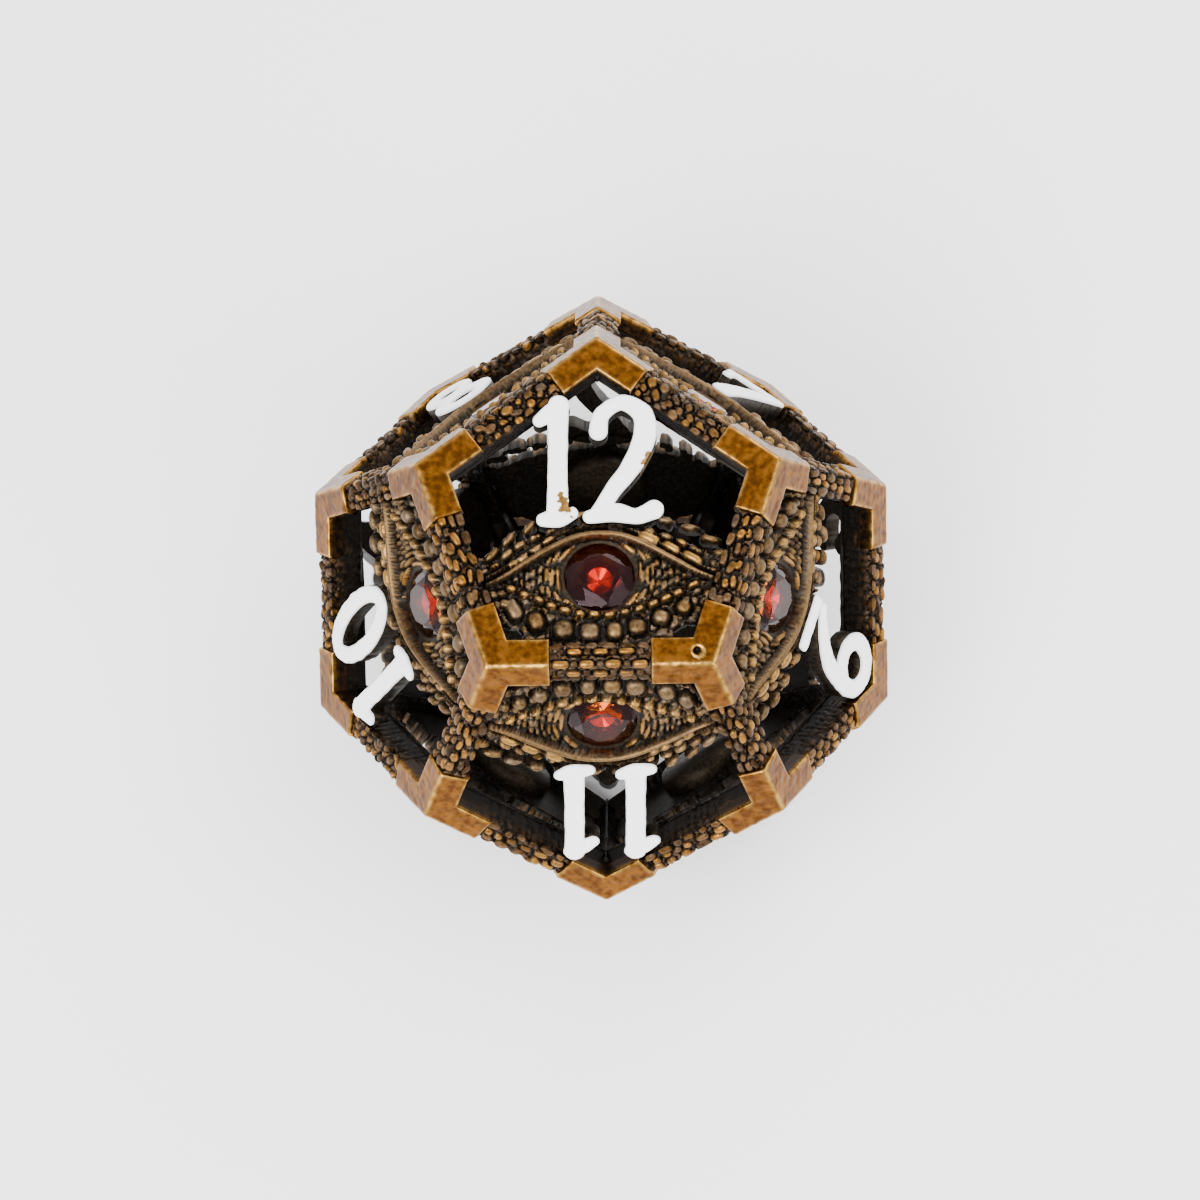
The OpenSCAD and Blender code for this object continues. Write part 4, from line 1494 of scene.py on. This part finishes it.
@dataclass
class Stones:
    """Twelve round brilliant stones. Sizes in millimetres."""

    table_r: float = 0.86
    crown_r: float = 1.2
    crown_fall: float = 0.19
    back_r: float = 0.62
    back_fall: float = 0.47
    top: float = -0.35
    crown: float = 0.35
    girdle: float = 0.1
    pavilion: float = 0.75

    def stone(self, turn: float) -> Patch:
        """One stone: table, star, kite and girdle facets over a pointed back."""
        def ring(count: int, radius: float, z: float, start: float) -> list:
            """Points round the stone."""
            steps = [math.radians(start + turn + 360 * k / count) for k in range(count)]
            return [(radius * math.cos(s), STONE_Y + radius * math.sin(s), z) for s in steps]

        upper_z = self.top - self.crown
        lower_z = upper_z - self.girdle
        points = ring(8, self.table_r, self.top, 0)
        points += ring(8, self.crown_r, self.top - self.crown_fall, 22.5)
        points += ring(16, STONE_R, upper_z, 0) + ring(16, STONE_R, lower_z, 0)
        points += ring(8, self.back_r, lower_z - self.back_fall, 22.5)
        points += [(0, STONE_Y, lower_z - self.pavilion)]
        table, star, upper, lower, back, point = 0, 8, 16, 32, 48, 56
        faces = [tuple(range(8))]
        for k in range(8):
            after, before = (k + 1) % 8, (k - 1) % 8
            side = [2 * k, (2 * k + 1) % 16, (2 * k + 2) % 16]
            faces += [
                (table + after, table + k, star + k),
                (table + k, star + before, upper + side[0], star + k),
                (star + k, upper + side[0], upper + side[1]), (star + k, upper + side[1], upper + side[2]),
                (upper + side[0], lower + side[0], lower + side[1], upper + side[1]),
                (upper + side[1], lower + side[1], lower + side[2], upper + side[2]),
                (back + k, lower + side[1], lower + side[0]), (back + k, lower + side[2], lower + side[1]),
                (point, back + k, lower + side[0]), (point, lower + side[0], back + before),
            ]
        n = len(points)
        return Patch(np.array(points), faces, np.zeros(n), np.full(n, 0.5), np.ones(n))

    def build(self, glass: bpy.types.Material) -> None:
        """Makes the stones."""
        for n in range(1, 13):
            patch = self.stone(7.0 * n).moved(face_frame(n))
            piece = make_piece(f"faceted_stone_{n:02d}", [patch], [glass], 5)
            settle(piece, [f"stone_{n:02d}"])


# ---- studio ----


@dataclass(frozen=True)
class SoftLight:
    """A square area light aimed at the die: where it stands, in degrees and edges, and its power."""

    name: str
    azimuth: float
    elevation: float
    distance: float
    size: float
    power: float


@dataclass
class Studio:
    """Floor, lights and camera round the die."""

    centre: Vector
    azimuth: float = 1.934
    elevation: float = 71.762
    roll: float = -2.721
    distance: float = 28.2
    lens: float = 184.76
    aside: tuple = (0.0101, 0.0187)
    world: float = 1.9
    lights: tuple = (
        SoftLight("key_light", -35, 52, 14, 9, 0.3),
        SoftLight("fill_light", 65, 42, 14, 10, 0.12),
        SoftLight("back_light", 150, 34, 14, 9, 0.12),
    )

    def way(self, azimuth: float, elevation: float) -> Vector:
        """The direction from the die to something seen at an azimuth and elevation, in degrees."""
        az, el = math.radians(azimuth), math.radians(elevation)
        return Vector((math.cos(el) * math.sin(az), -math.cos(el) * math.cos(az), math.sin(el)))

    def add_camera(self) -> None:
        """Makes the camera and sets it as the scene's."""
        back = self.way(self.azimuth, self.elevation)
        level = Vector((0, 0, 1)).cross(back).normalized()
        over = back.cross(level)
        r = math.radians(self.roll)
        right = level * math.cos(r) + over * math.sin(r)
        up = back.cross(right)
        unit = EDGE * MM
        place_at = self.centre + (back * self.distance - right * self.aside[0] - up * self.aside[1]) * unit
        data = bpy.data.cameras.new("camera")
        data.lens = self.lens
        data.sensor_width = 36
        data.clip_start = 0.01
        data.clip_end = 5
        camera = bpy.data.objects.new("camera", data)
        turn = Matrix((right, up, back)).transposed().to_4x4()
        camera.matrix_world = Matrix.Translation(place_at) @ turn
        bpy.context.scene.collection.objects.link(camera)
        bpy.context.scene.camera = camera

    def add_lights(self) -> None:
        """Makes the lights and an even surrounding."""
        unit = EDGE * MM
        for light in self.lights:
            data = bpy.data.lights.new(light.name, "AREA")
            data.size = light.size * unit
            data.energy = light.power
            lamp = bpy.data.objects.new(light.name, data)
            way = self.way(light.azimuth, light.elevation)
            lamp.matrix_world = (
                Matrix.Translation(self.centre + way * light.distance * unit)
                @ way.to_track_quat("Z", "Y").to_matrix().to_4x4()
            )
            bpy.context.scene.collection.objects.link(lamp)
        world = bpy.data.worlds.new("studio")
        world.use_nodes = True
        world.node_tree.nodes["Background"].inputs["Color"].default_value = (1, 1, 1, 1)
        world.node_tree.nodes["Background"].inputs["Strength"].default_value = self.world
        bpy.context.scene.world = world

    def add_floor(self, finish: bpy.types.Material) -> None:
        """Makes the floor that the die stands on."""
        half = 60 * EDGE * MM
        mesh = bpy.data.meshes.new("floor")
        work = bmesh.new()
        bmesh.ops.create_grid(work, x_segments=8, y_segments=8, size=half)
        work.to_mesh(mesh)
        work.free()
        mesh.materials.append(finish)
        floor = bpy.data.objects.new("floor", mesh)
        floor.location = (0, 0, cad_box[0].z)
        bpy.context.scene.collection.objects.link(floor)

    def build(self) -> None:
        """Sets up the whole studio."""
        self.add_camera()
        self.add_lights()
        self.add_floor(PaleFloor().material())


def main() -> None:
    """Builds the studio and every piece of the die, in order."""
    logging.basicConfig(level=logging.INFO, format="%(name)s: %(message)s")
    centre = (cad_box[0] + cad_box[1]) / 2
    Studio(centre).build()
    # The shared group carries both wear and painted shade.
    wear = aged_and_shaded_metal_group()
    ScaledCage().build(CAGE_BRONZE.material(wear))
    CornerCaps().build(CAP_COPPER.material(wear))
    digits = Digits()
    EyePanels(digits).build(EYE_BRONZE.material(wear), FOIL.material(wear))
    digits.build(HardEnamel().material())
    Stones().build(RedStone().material())


if __name__ == "__main__":
    main()
